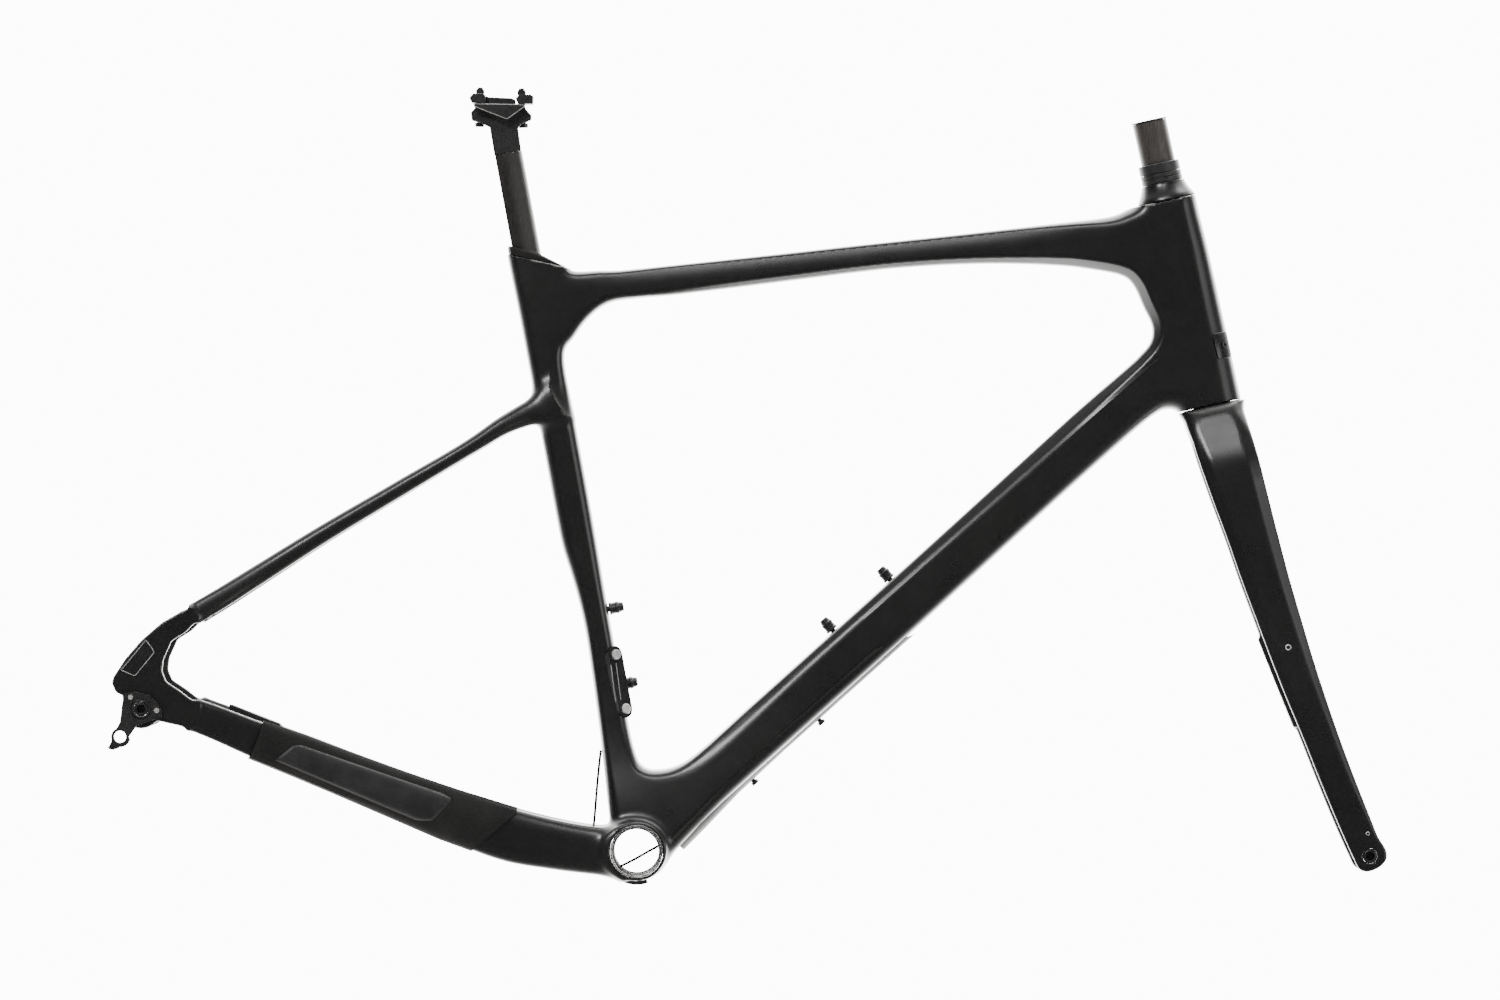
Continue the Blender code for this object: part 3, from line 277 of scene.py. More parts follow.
def signed_distance(x, z, loop):
    """Distance to a closed line, below zero inside it."""
    best = np.full(x.shape, 1.0)
    inside = np.zeros(x.shape, bool)
    for (ax, az), (bx, bz) in zip(loop, np.roll(loop, -1, 0)):
        dx, dz = bx - ax, bz - az
        t = np.clip(((x - ax) * dx + (z - az) * dz) / (dx * dx + dz * dz + 1e-12), 0, 1)
        best = np.minimum(best, (x - ax - t * dx) ** 2 + (z - az - t * dz) ** 2)
        crosses = (az > z) != (bz > z)
        inside ^= crosses & (x < ax + (z - az) * dx / (dz if dz else 1e-12))
    return np.where(inside, -1.0, 1.0) * np.sqrt(best)


def smooth_max(first, second, soft):
    """The larger of two distances, with the crease between them rounded."""
    h = np.maximum(soft - np.abs(first - second), 0) / soft
    return np.maximum(first, second) + h * h * soft / 4


def smooth_min(first, second, soft):
    return -smooth_max(-first, -second, soft)


class Plan:
    """Numbers on a grid in the X and Z plane, read smoothly anywhere between its points."""

    def __init__(self, low, high, step):
        self.low, self.step = np.array(low), step
        self.x = np.arange(low[0], high[0], step)
        self.z = np.arange(low[1], high[1], step)
        self.grid = np.meshgrid(self.x, self.z, indexing="ij")

    def soften(self, values, rounds=2):
        for _ in range(rounds):
            padded = np.pad(values, 1, mode="edge")
            values = (padded[:-2, 1:-1] + padded[2:, 1:-1] + padded[1:-1, :-2] + padded[1:-1, 2:]
                      + 4 * values) / 8
        return values

    def read(self, values, x, z):
        u = np.clip((x - self.low[0]) / self.step, 0, len(self.x) - 1)
        w = np.clip((z - self.low[1]) / self.step, 0, len(self.z) - 1)
        i = np.clip(np.floor(u).astype(int), 1, len(self.x) - 3)
        j = np.clip(np.floor(w).astype(int), 1, len(self.z) - 3)
        along, across = self.weights(u - i), self.weights(w - j)
        total = 0.0
        for a in range(4):
            row = sum(across[b] * values[i + a - 1, j + b - 1] for b in range(4))
            total = total + along[a] * row
        return total

    @staticmethod
    def weights(t):
        return ((-t + 2 * t ** 2 - t ** 3) / 2, (2 - 5 * t ** 2 + 3 * t ** 3) / 2,
                (t + 4 * t ** 2 - 3 * t ** 3) / 2, (t ** 3 - t ** 2) / 2)


def spread(points, columns, x, z):
    """A thin plate through values known at a few places, one for each column."""
    points, columns = np.array(points, float), np.array(columns, float)
    n = len(points)

    def kernel(r2):
        return r2 * np.log(r2 + 1e-9)

    gaps = ((points[:, None] - points[None]) ** 2).sum(-1)
    base = np.column_stack([np.ones(n), points])
    system = np.block([[kernel(gaps) + 1e-6 * np.eye(n), base], [base.T, np.zeros((3, 3))]])
    solved = np.linalg.solve(system, np.vstack([columns, np.zeros((3, columns.shape[1]))]))
    flat = np.stack([x.ravel(), z.ravel()], 1)
    gaps = ((flat[:, None] - points[None]) ** 2).sum(-1)
    terms = np.column_stack([kernel(gaps), np.ones(len(flat)), flat])
    return [column.reshape(x.shape) for column in (terms @ solved).T]


# ---- places in the frame's own directions ----
def down(reach, off):
    """Along the down tube from the bottom bracket, and off its line."""
    return 0.6672 * reach - 0.7448 * off, 0.7448 * reach + 0.6672 * off


def top(reach, off):
    """Along the top tube from the seat cluster, and off its line."""
    return -0.1535 + 0.9914 * reach - 0.1307 * off, 0.491 + 0.1307 * reach + 0.9914 * off


def placed(matrix):
    """What turns (x, height) in a part's own frame into X and Z."""
    def spot(x, height):
        made = matrix @ Vector((x, 0, height))
        return made.x, made.z
    return spot


seat, head, clamp = placed(SEAT), placed(STEERING), placed(CLAMP)


def axle(x, z):
    return REAR_AXLE[0] + x, REAR_AXLE[1] + z


def run(place, *points):
    """A run of points that are measured in one part's own way."""
    return [place(*point) for point in points]


def arc(centre, radius, start, end, count):
    """Points round a circle, from one angle to another."""
    angles = [radians(start + (end - start) * i / (count - 1)) for i in range(count)]
    return [(centre[0] + radius * cos(a), centre[1] + radius * sin(a)) for a in angles]


# ---- the front triangle: its outline, its opening, and the roundness of its edges ----
OUTLINE = (
    run(down, (0.0, -0.0215), (0.012, -0.0224), (0.04, -0.02), (0.07, -0.0178), (0.099, -0.0166),
        (0.198, -0.0155), (0.297, -0.0145), (0.397, -0.0125), (0.471, -0.0112), (0.525, -0.0107))
    + run(head, (-0.057, -0.1765), (-0.0407, -0.1705), (-0.029, -0.1745), (-0.025, -0.188),
          (0.015, -0.19), (0.024, -0.185), (0.025, -0.165), (0.0252, -0.11), (0.0252, -0.05),
          (0.0244, -0.015), (0.0238, 0.004), (0.018, 0.011), (-0.018, 0.011), (-0.025, 0.003),
          (-0.036, -0.001))
    + run(top, (0.487, 0.0182), (0.447, 0.0138), (0.366, 0.0055), (0.284, -0.0022), (0.203, -0.0102),
          (0.122, -0.0178), (0.081, -0.0214), (0.062, -0.0215))
    + [(-0.11, 0.4748), (-0.1165, 0.48), (-0.125, 0.495)]
    + run(seat, (-0.006, 0.525), (-0.015, 0.52), (-0.0149, 0.45), (-0.0152, 0.35), (-0.0153, 0.29),
          (-0.0148, 0.262), (-0.0122, 0.24), (-0.01, 0.218), (-0.0088, 0.19), (-0.01, 0.15),
          (-0.0122, 0.105), (-0.0138, 0.079), (-0.016, 0.05), (-0.018, 0.02))
    + [(-0.019, -0.002), (-0.008, -0.018)]
)
OPENING = (
    [(-0.0046, 0.0718), (0.008, 0.0693), (0.0265, 0.0757)]
    + run(down, (0.099, 0.028), (0.148, 0.0284), (0.198, 0.0288), (0.297, 0.0298), (0.397, 0.0312),
          (0.471, 0.0325), (0.52, 0.0333))
    + run(head, (-0.064, -0.13), (-0.05, -0.1216), (-0.0388, -0.1125), (-0.0348, -0.1),
          (-0.0385, -0.0825), (-0.0425, -0.064), (-0.051, -0.053))
    + run(top, (0.47, -0.0248), (0.447, -0.022), (0.406, -0.0199), (0.366, -0.0199), (0.325, -0.0216),
          (0.284, -0.025), (0.203, -0.0342), (0.162, -0.0388), (0.122, -0.043), (0.096, -0.045))
    + [(-0.077, 0.452), (-0.0925, 0.438), (-0.103, 0.42), (-0.1095, 0.403)]
    + run(seat, (0.0149, 0.37), (0.0147, 0.3), (0.0141, 0.25), (0.0135, 0.218), (0.0132, 0.185),
          (0.013, 0.139), (0.0127, 0.104), (0.0138, 0.083))
)
# Place; half width; edge radii inside, outside and across, in mm; then the facets beside the inner
# and the outer edge: how far in each starts, in mm, and its tilt in degrees.
SHAPE = [
    ((0.0, 0.0), 37.0, 10, 14, 14, 0, 4, 0, 4),
    (down(0.05, 0.006), 34.6, 8, 13, 15, 6, 14, 0, 4),
    (down(0.1, 0.006), 31.5, 6, 12, 15, 10, 22, 0, 4),
    (down(0.2, 0.007), 27.0, 5, 11, 14, 8.5, 27, 0, 4),
    (down(0.32, 0.008), 25.0, 5, 11, 14, 8.5, 27, 0, 4),
    (down(0.44, 0.01), 24.6, 5, 11, 14, 10, 27, 0, 4),
    (down(0.52, 0.011), 24.0, 5, 13, 15, 10, 27, 0, 4),
    (head(-0.015, -0.165), 24.2, 7, 20, 20, 2, 10, 0, 4),
    (head(0.0, -0.13), 23.4, 7, 20, 20, 5, 30, 0, 4),
    (head(-0.005, -0.09), 22.7, 4, 20, 20, 7.5, 50, 0, 4),
    (head(-0.005, -0.045), 22.5, 4, 18, 19, 7, 45, 0, 4),
    (head(0.0, -0.008), 23.2, 7, 17, 20, 4, 20, 2, 4),
    (top(0.47, -0.002), 21.6, 3, 8, 15, 7, 52, 8, 12),
    (top(0.41, -0.005), 20.9, 3, 5, 12, 5.5, 55, 10.5, 15),
    (top(0.33, -0.01), 20.5, 3, 4, 11, 5, 55, 10.5, 15),
    (top(0.22, -0.02), 20.2, 3, 4, 11, 5, 55, 10, 15),
    (top(0.12, -0.03), 19.3, 4, 4, 11, 4, 45, 9.5, 15),
    (top(0.06, -0.036), 18.8, 7, 7, 12, 1, 12, 8, 12),
    (seat(0.0, 0.47), 18.3, 9, 11, 13, 0, 4, 2, 6),
    (seat(0.0, 0.36), 18.0, 12, 12, 14, 0, 4, 0, 4),
    (seat(0.0, 0.26), 18.1, 12, 12, 14, 0, 4, 0, 4),
    (seat(0.002, 0.19), 18.5, 10, 8, 14, 0, 4, 0, 4),
    (seat(0.001, 0.12), 21.0, 10, 8, 14, 0, 4, 0, 4),
    (seat(0.0, 0.08), 25.5, 10, 9, 14, 0, 4, 0, 4),
    (seat(0.0, 0.04), 33.0, 10, 12, 14, 0, 4, 0, 4),
]
# Chainstay and seatstay on the left: x, y, z, half height, half width.
CHAINSTAY = [
    (-0.012, 0.033, -0.004, 0.0196, 0.0095), (-0.062, 0.034, -0.003, 0.0208, 0.009),
    (-0.1, 0.035, 0.0, 0.0222, 0.0085), (-0.16, 0.039, 0.0126, 0.0205, 0.0085),
    (-0.204, 0.043, 0.0238, 0.0186, 0.0085), (-0.247, 0.049, 0.0352, 0.0172, 0.008),
    (-0.289, 0.056, 0.0464, 0.0163, 0.007), (-0.326, 0.064, 0.0556, 0.0152, 0.0055),
    (-0.36, 0.072, 0.0652, 0.014, 0.0042), (-0.379, DROPOUT_Y, 0.07, 0.0135, 0.004),
]
SEATSTAY = [
    (-0.116, 0.015, 0.361, 0.013, 0.0065), (-0.135, 0.0195, 0.351, 0.01, 0.0065),
    (-0.153, 0.025, 0.3395, 0.0079, 0.0065), (-0.171, 0.03, 0.3245, 0.0068, 0.0062),
    (-0.232, 0.0385, 0.2772, 0.0069, 0.006), (-0.29, 0.047, 0.2325, 0.0076, 0.006),
    (-0.346, 0.058, 0.1869, 0.0085, 0.0055), (-0.372, 0.069, 0.1658, 0.0088, 0.0042),
    (-0.389, DROPOUT_Y, 0.1527, 0.009, 0.004),
]
DROPOUT = (
    run(axle, (0.0325, 0.088), (0.025, 0.0858), (0.0085, 0.0735), (-0.0065, 0.057),
        (-0.018, 0.04), (-0.0262, 0.0235), (-0.0268, 0.018), (-0.0225, 0.011))
    + arc(REAR_AXLE, 0.0165, 150, 330, 12)
    + run(axle, (0.0402, -0.011), (0.045, 0.01), (0.03, 0.019), (0.018, 0.025),
          (0.0135, 0.033), (0.0135, 0.043), (0.0185, 0.059), (0.029, 0.0675), (0.038, 0.079))
)
# The fork in the steering frame: height, then its rear and front edge.
FORK_REAR = [
    (-0.17, -0.0258), (-0.185, -0.0258), (-0.1925, -0.025), (-0.2025, -0.0232), (-0.2225, -0.0212),
    (-0.253, -0.0175), (-0.288, -0.0126), (-0.323, -0.0085), (-0.358, -0.0036), (-0.393, 0.0013),
    (-0.429, 0.007), (-0.464, 0.0132), (-0.5, 0.019), (-0.535, 0.0252), (-0.56, 0.0302),
]
FORK_FRONT = [
    (-0.556, 0.0562), (-0.541, 0.0537), (-0.506, 0.0481), (-0.471, 0.0432), (-0.436, 0.0392),
    (-0.401, 0.0359), (-0.366, 0.0334), (-0.332, 0.0312), (-0.297, 0.0298), (-0.263, 0.0288),
    (-0.2325, 0.028), (-0.2225, 0.0275), (-0.2025, 0.0262), (-0.185, 0.025), (-0.17, 0.0248),
]
FORK_TIP = [
    (-0.0138, 0.0009), (-0.0122, -0.0065), (-0.01, -0.0102), (-0.0049, -0.0126), (0.0037, -0.0117),
    (0.01, -0.0086), (0.0135, -0.0045), (0.014, 0.003),
]
# Height; outer face, inner face; edge radius, radius across, facet's inset, facet's tilt.
FORK_SHAPE = [
    (-0.176, 0.0268, 0.02, 20.0, 20.0, 2.0, 4), (-0.185, 0.0312, 0.02, 16.0, 14.0, 4.0, 10),
    (-0.194, 0.0345, 0.022, 13.0, 10.0, 7.0, 18), (-0.205, 0.0385, 0.0245, 10.0, 7.0, 8.5, 22),
    (-0.22, 0.0434, 0.0252, 8.0, 6.0, 9.5, 25), (-0.24, 0.0456, 0.0272, 7.0, 5.0, 9.5, 26),
    (-0.253, 0.0461, 0.0284, 7.0, 5.0, 9.5, 26), (-0.332, 0.0497, 0.0333, 6.0, 5.0, 8.5, 26),
    (-0.401, 0.0528, 0.0376, 5.0, 4.5, 7.0, 26), (-0.471, 0.057, 0.0434, 4.5, 4.0, 5.0, 26),
    (-0.52, 0.0597, 0.0473, 4.0, 4.0, 4.0, 24), (-0.553, 0.0612, 0.0492, 3.0, 3.0, 3.0, 14),
    (-0.59, 0.0618, 0.05, 2.5, 2.5, 2.0, 6),
]


def rounded(reaches, power):
    """Distance to a solid with rounded edges; reaches are (distance past each face, its edge's radius)."""
    terms = [np.maximum(over + radius, 0) / radius for over, radius in reaches]
    rho = np.maximum(sum(term ** power for term in terms) ** (1 / power), 1e-3)
    slope = sum(((term / rho) ** (power - 1) / radius) ** 2 for term, (_, radius) in zip(terms, reaches))
    return (rho - 1) / np.sqrt(np.maximum(slope, 400.0))


def turn_to(matrix, x, z):
    """Read places of the row frame in a frame that is turned and moved in the X and Z plane."""
    back = matrix.inverted()
    return (back[0][0] * x + back[0][2] * z + back[0][3], back[2][0] * x + back[2][2] * z + back[2][3])


def rod(place, stations, side, power=2.3):
    """Distance to a bent tube through these stations."""
    x, y, z = place
    stations = np.array(stations)
    start, end = stations[0, [0, 2]], stations[-1, [0, 2]]
    along = (end - start) / np.linalg.norm(end - start)
    knots = (stations[:, [0, 2]] - start) @ along
    offsets = (stations[:, 2] - start[1]) * along[0] - (stations[:, 0] - start[0]) * along[1]
    reach = (x - start[0]) * along[0] + (z - start[1]) * along[1]
    off = (z - start[1]) * along[0] - (x - start[0]) * along[1]

    def at(values):
        return curve(reach, np.column_stack([knots, values]))

    over_u = np.abs(off - at(offsets)) - at(stations[:, 3])
    over_v = np.abs(side * y - at(stations[:, 1])) - at(stations[:, 4])
    tube = rounded([(over_u, at(stations[:, 3])), (over_v, at(stations[:, 4]))], power)
    return np.maximum(tube, np.maximum(-reach - 0.004, reach - knots[-1]))


def slab(over_plan, over_side, radius=0.0015):
    """Distance to a plate with its edges rounded off."""
    a, b = over_plan + radius, over_side + radius
    return np.minimum(np.maximum(a, b), 0) + np.hypot(np.maximum(a, 0), np.maximum(b, 0)) - radius


def turned_box(place, matrix, half):
    """Distance to a block, rounded a little, in its own frame."""
    x, y, z = place
    u, w = turn_to(matrix, x, z)
    over = [np.abs(value) - size for value, size in zip((u, y - matrix.translation.y, w), half)]
    return slab(np.maximum(over[0], over[1]), over[2], 0.0012)


class FrameField:
    """How far any place is from the frame's skin, below zero inside."""

    def __init__(self):
        self.plan = Plan((-0.19, -0.06), (0.49, 0.64), 0.0025)
        x, z = self.plan.grid
        outer = signed_distance(x, z, smooth_loop(OUTLINE, 5))
        inner = -signed_distance(x, z, smooth_loop(OPENING, 5))
        places = [row[0] for row in SHAPE]
        columns = [row[1:] for row in SHAPE]
        self.maps = [self.plan.soften(outer), self.plan.soften(inner)] + spread(places, columns, x, z)
        rear_x, rear_z = np.arange(-0.47, -0.35, 0.002), np.arange(0.03, 0.19, 0.002)
        self.rear = Plan((rear_x[0], rear_z[0]), (rear_x[-1], rear_z[-1]), 0.002)
        self.dropout = self.rear.soften(signed_distance(*self.rear.grid, DROPOUT), 1)

    def triangle(self, x, y, z):
        outer, inner, wide, r_in, r_out, r_side, c_in, a_in, c_out, a_out = (
            self.plan.read(values, x, z) for values in self.maps)
        over = np.abs(y) - wide / 1000
        r_in, r_out, r_side = (np.maximum(r, 2.0) / 1000 for r in (r_in, r_out, r_side))
        made = rounded([(inner, r_in), (outer, r_out), (over, r_side)], 2.4)
        for edge, inset, tilt in ((inner, c_in, a_in), (outer, c_out, a_out)):
            tilt = np.radians(np.clip(tilt, 2.0, 60.0))
            facet = (edge + np.maximum(inset, 0) / 1000) * np.sin(tilt) + over * np.cos(tilt)
            made = smooth_max(made, facet, 0.0016)
        return made

    def rear_end(self, x, y, z):
        made = np.full(x.shape, 0.05)
        over = np.abs(np.abs(y) - DROPOUT_Y) - DROPOUT_THICKNESS / 2
        plate = slab(self.rear.read(self.dropout, x, z), over)
        plate = np.maximum(plate, np.hypot(x - REAR_AXLE[0] - 0.01, z - REAR_AXLE[1] - 0.03) - 0.085)
        for side in (-1, 1):
            stay = smooth_min(rod((x, y, z), CHAINSTAY, side, 2.6), plate, 0.008)
            made = np.minimum(made, stay)
        uppers = np.minimum(rod((x, y, z), SEATSTAY, -1), rod((x, y, z), SEATSTAY, 1))
        return smooth_min(made, uppers, 0.005)

    def __call__(self, x, y, z):
        made = self.triangle(x, y, z)
        shell = rounded([(np.hypot(x, z) - BB_RADIUS, 0.002), (np.abs(y) - BB_HALF_WIDTH, 0.0012)], 2.0)
        yoke = slab(np.maximum(np.abs(x + 0.04) - 0.022, np.abs(z + 0.0022) - 0.0122),
                    np.abs(y) - 0.03, 0.004)
        for other, soft in ((shell, 0.01), (yoke, 0.008), (self.rear_end(x, y, z), 0.014)):
            made = smooth_min(made, other, soft)
        made = np.maximum(made, np.abs(y) - (DROPOUT_Y + DROPOUT_THICKNESS / 2))
        made = smooth_min(made, turned_box((x, y, z), BRAKE_BLOCK, (0.023, 0.005, 0.005)), 0.004)
        sx, sz = turn_to(STEERING, x, z)
        tx, tz = turn_to(SEAT, x, z)
        post = np.maximum(np.hypot(tx + 0.001, y) - POST_BORE, POST_BACK - tx)
        for cut in (
                np.where(sx > -0.034, np.maximum(sz, -HEAD_LENGTH - sz), -0.1),
                HEAD_BORE - np.hypot(sx, y),
                np.where((tz > 0.3) & (tx < 0.034), tz - SEAT_TOP - SEAT_TOP_SLOPE * tx, -0.1),
                -np.maximum(post, POST_FOOT - tz),
                SHELL_BORE - np.hypot(x, z),
                AXLE_HOLE - np.hypot(x - REAR_AXLE[0], z - REAR_AXLE[1])):
            made = np.maximum(made, cut)
        return made


class ForkField:
    """How far any place of the steering frame is from the fork's skin."""

    def __init__(self):
        tip = [(FORK_RAKE + x, -AXLE_DEPTH + z) for x, z in FORK_TIP]
        loop = [(x, z) for z, x in FORK_REAR] + tip + [(x, z) for z, x in FORK_FRONT]
        self.plan = Plan((-0.05, -0.61), (0.09, -0.15), 0.002)
        self.edge = self.plan.soften(signed_distance(*self.plan.grid, smooth_loop(loop, 4)), 1)
        self.rows = np.array(FORK_SHAPE)[::-1]

    def __call__(self, x, y, z):
        edge = self.plan.read(self.edge, x, z)
        wide, bare, radius, across, inset, tilt = (
            curve(z, np.column_stack([self.rows[:, 0], self.rows[:, i]])) for i in range(1, 7))
        arch = np.hypot(y, np.maximum(z - FORK_ARCH, 0)) - FORK_SLOT
        slot = np.where(z > FORK_ARCH, arch, np.abs(y) - bare)
        outer = np.abs(y) - wide
        radius, across = radius / 1000, across / 1000
        made = rounded([(edge, radius), (outer, across), (-slot, 0.004)], 2.4)
        tilt = np.radians(tilt)
        facet = (edge + inset / 1000) * np.sin(tilt)
        made = smooth_max(made, facet + outer * np.cos(tilt), 0.0014)
        made = smooth_max(made, facet - slot * np.cos(tilt), 0.003)
        made = smooth_min(made, turned_box((x, y, z), FRONT_BLOCK, (0.005, 0.0055, 0.04)), 0.004)
        made = np.maximum(made, z - FORK_TOP)
        made = np.maximum(made, np.where(z > -0.23, FORK_BORE - np.hypot(x, y), -0.1))
        return np.maximum(made, AXLE_HOLE - np.hypot(x - FORK_RAKE, z + AXLE_DEPTH))


def skin(name, field, low, high, voxel, body, finish, place=WORLD):
    """A mesh on the field's zero level, worked out finely only near it."""
    cube, reach = 4, 3 * voxel
    low = np.array(low)
    counts = np.ceil((np.array(high) - low) / (voxel * cube)).astype(int)
    cells = np.stack(np.meshgrid(*[np.arange(n) for n in counts], indexing="ij"), -1).reshape(-1, 3)
    centres = low + (cells + 0.5) * voxel * cube
    rough = field(*centres.T)
    signs = np.where(rough < 0, -1.0, 1.0).reshape(counts)
    values = np.kron(signs, np.ones((cube, cube, cube))) * reach
    near = cells[np.abs(rough) < 1.4 * voxel * cube]
    steps = np.stack(np.meshgrid(*[np.arange(cube)] * 3, indexing="ij"), -1).reshape(-1, 3)
    fine = (near[:, None] * cube + steps).reshape(-1, 3)
    read = field(*(low + (fine + 0.5) * voxel).T)
    values[tuple(fine.T)] = np.clip(read, -reach, reach)
    grid = openvdb.FloatGrid()
    grid.copyFromArray(values.astype(np.float32))
    points, quads = grid.convertToQuads(0.0)
    points = low + (np.asarray(points, float) + 0.5) * voxel
    for _ in range(3):
        slope = gradient(field, points)
        size = np.maximum((slope ** 2).sum(1), 0.25)
        move = slope * (field(*points.T) / size)[:, None]
        points -= np.clip(move, -voxel / 2, voxel / 2)
    mesh = bpy.data.meshes.new(name)
    mesh.from_pydata(points.tolist(), [], np.asarray(quads).astype(int).tolist())
    bm = bmesh.new()
    bm.from_mesh(mesh)
    bmesh.ops.remove_doubles(bm, verts=bm.verts, dist=1e-5)
    loose = [v for v in bm.verts if not v.link_faces]
    bmesh.ops.delete(bm, geom=loose, context="VERTS")
    bmesh.ops.recalc_face_normals(bm, faces=bm.faces)
    written(bm, mesh)
    spots = np.empty(len(mesh.vertices) * 3)
    mesh.vertices.foreach_get("co", spots)
    normals = gradient(field, spots.reshape(-1, 3))
    normals /= np.maximum(np.linalg.norm(normals, axis=1), 1e-6)[:, None]
    mesh.transform(place)
    made = piece(name, mesh, body, finish)
    turned = normals @ np.array(place.to_3x3()).T
    mesh.normals_split_custom_set_from_vertices(turned.tolist())
    return made


def gradient(field, points, step=0.0002):
    """How fast the field grows along each axis."""
    return np.stack([(field(*(points + step * axis).T) - field(*(points - step * axis).T)) / (2 * step)
                     for axis in np.eye(3)], 1)


# ---- smaller pieces ----
def written(bm, mesh):
    bm.to_mesh(mesh)
    bm.free()
    return mesh


def piece(name, mesh, body, finish):
    made = linked(name, mesh)
    mesh.materials.clear()
    mesh.materials.append(finish)
    mesh.polygons.foreach_set("use_smooth", [True] * len(mesh.polygons))
    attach(made, body)
    return made


def bevel(made, width, segments=3):
    modifier = made.modifiers.new("bevel", "BEVEL")
    modifier.width = width
    modifier.segments = segments
    modifier.limit_method = "ANGLE"
    modifier.angle_limit = radians(30)
    modifier.harden_normals = True
    return made


def spun(name, profile, start, direction, place, body, finish, node=None, hexes=(), count=96):
    """A ring turned from (radius, height) points, closed round its section, shown for a CAD node.

    The points whose numbers are in hexes are turned six-sided.
    """
    toward = Vector(direction).normalized()
    across = toward.cross(Vector((0.3, 0.7, 0.2)) if abs(toward.y) < 0.9 else Vector((1, 0, 0))).normalized()
    third = toward.cross(across)
    bm = bmesh.new()
    rings = []
    for index, (radius, height) in enumerate(profile):
        ring = []
        for i in range(count):
            angle = 2 * pi * i / count
            size = radius
            if index in hexes:
                size = radius / cos((angle + pi / 6) % (pi / 3) - pi / 6)
            spot = Vector(start) + toward * height + (across * cos(angle) + third * sin(angle)) * size
            ring.append(bm.verts.new(spot))
        rings.append(ring)
    for first, second in zip(rings, rings[1:] + rings[:1]):
        for i in range(count):
            j = (i + 1) % count
            bm.faces.new((first[i], first[j], second[j], second[i]))
    bmesh.ops.recalc_face_normals(bm, faces=bm.faces)
    mesh = written(bm, bpy.data.meshes.new(name))
    mesh.transform(place)
    made = bevel(piece(name, mesh, body, finish), FINE_EDGE, 2)
    if node:
        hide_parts(node)


def refined(node, body, finish, width):
    """A rounded-off copy of a CAD piece, shown in its place."""
    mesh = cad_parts[node].data.copy()
    bm = bmesh.new()
    bm.from_mesh(mesh)
    bmesh.ops.remove_doubles(bm, verts=bm.verts, dist=1e-6)
    bmesh.ops.dissolve_limit(bm, angle_limit=radians(1.0), verts=bm.verts, edges=bm.edges)
    written(bm, mesh)
    if "custom_normal" in mesh.attributes:
        mesh.attributes.remove(mesh.attributes["custom_normal"])
    made = bevel(piece(node + "_fine", mesh, body, finish), width)
    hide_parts(node)
    return made


def cable(name, points, radius, body, finish):
    """A round line through these points."""
    data = bpy.data.curves.new(name, "CURVE")
    data.dimensions = "3D"
    data.bevel_depth = radius
    data.bevel_resolution = 4
    data.use_fill_caps = True
    spline = data.splines.new("POLY")
    spline.points.add(len(points) - 1)
    for point, spot in zip(spline.points, points):
        point.co = (*spot, 1.0)
    data.materials.append(finish)
    made = linked(name, data)
    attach(made, body)
    return made


class Surface:
    """Where a line along Y first meets a piece, from the right side or the left."""

    def __init__(self, made):
        self.tree = BVHTree.FromObject(made, bpy.context.evaluated_depsgraph_get())

    def at(self, x, z, side=-1):
        hit = self.tree.ray_cast(Vector((x, 0.3 * side, z)), Vector((0, -side, 0)))[0]
        return hit.y if hit else None


def stepped(path, step=0.002):
    """Points closer together along a line in the X and Z plane."""
    made = [Vector(path[0])]
    for first, second in zip(path, path[1:]):
        first, second = Vector(first), Vector(second)
        count = max(round((second - first).length / step), 1)
        made += [first.lerp(second, (i + 1) / count) for i in range(count)]
    return made


def drawn_line(name, path, surface, radius, body, finish):
    """A fine raised line on the right side of a piece."""
    spots = [(x, surface.at(x, z), z) for x, z in stepped(path)]
    return cable(name, [spot for spot in spots if spot[1] is not None], radius, body, finish)


def closed_solid(name, rings, body, finish):
    """A body through rings of points, with both its ends closed."""
    bm = bmesh.new()
    rows = [[bm.verts.new(spot) for spot in ring] for ring in rings]
    for first, second in zip(rows, rows[1:]):
        for a, b, c, d in zip(first, first[1:] + first[:1], second[1:] + second[:1], second):
            bm.faces.new((a, b, c, d))
    bm.faces.new(rows[0])
    bm.faces.new(rows[-1])
    bmesh.ops.recalc_face_normals(bm, faces=bm.faces)
    return piece(name, written(bm, bpy.data.meshes.new(name)), body, finish)


def rib(name, path, surface, width, rise, body, finish, side=-1):
    """A low moulding along a line on a piece; it is highest at its lower edge and fades at its ends."""
    spots = stepped(path, 0.004)
    rings = []
    for i, spot in enumerate(spots):
        along = (spots[min(i + 1, len(spots) - 1)] - spots[max(i - 1, 0)]).normalized()
        up = Vector((-along.y, along.x))
        share = min(1.0, 0.15 + min(i, len(spots) - 1 - i) / 8)
        low, high = spot - up * width / 2 * share, spot + up * width / 2 * share
        foot, crest = surface.at(*low, side), surface.at(*high, side)
        rings.append([(low.x, foot - side * 0.0005, low.y), (low.x, foot + side * rise * share, low.y),
                      (high.x, crest + side * 0.0001, high.y), (high.x, crest - side * 0.0005, high.y)])
    return bevel(closed_solid(name, rings, body, finish), FINE_EDGE, 2)


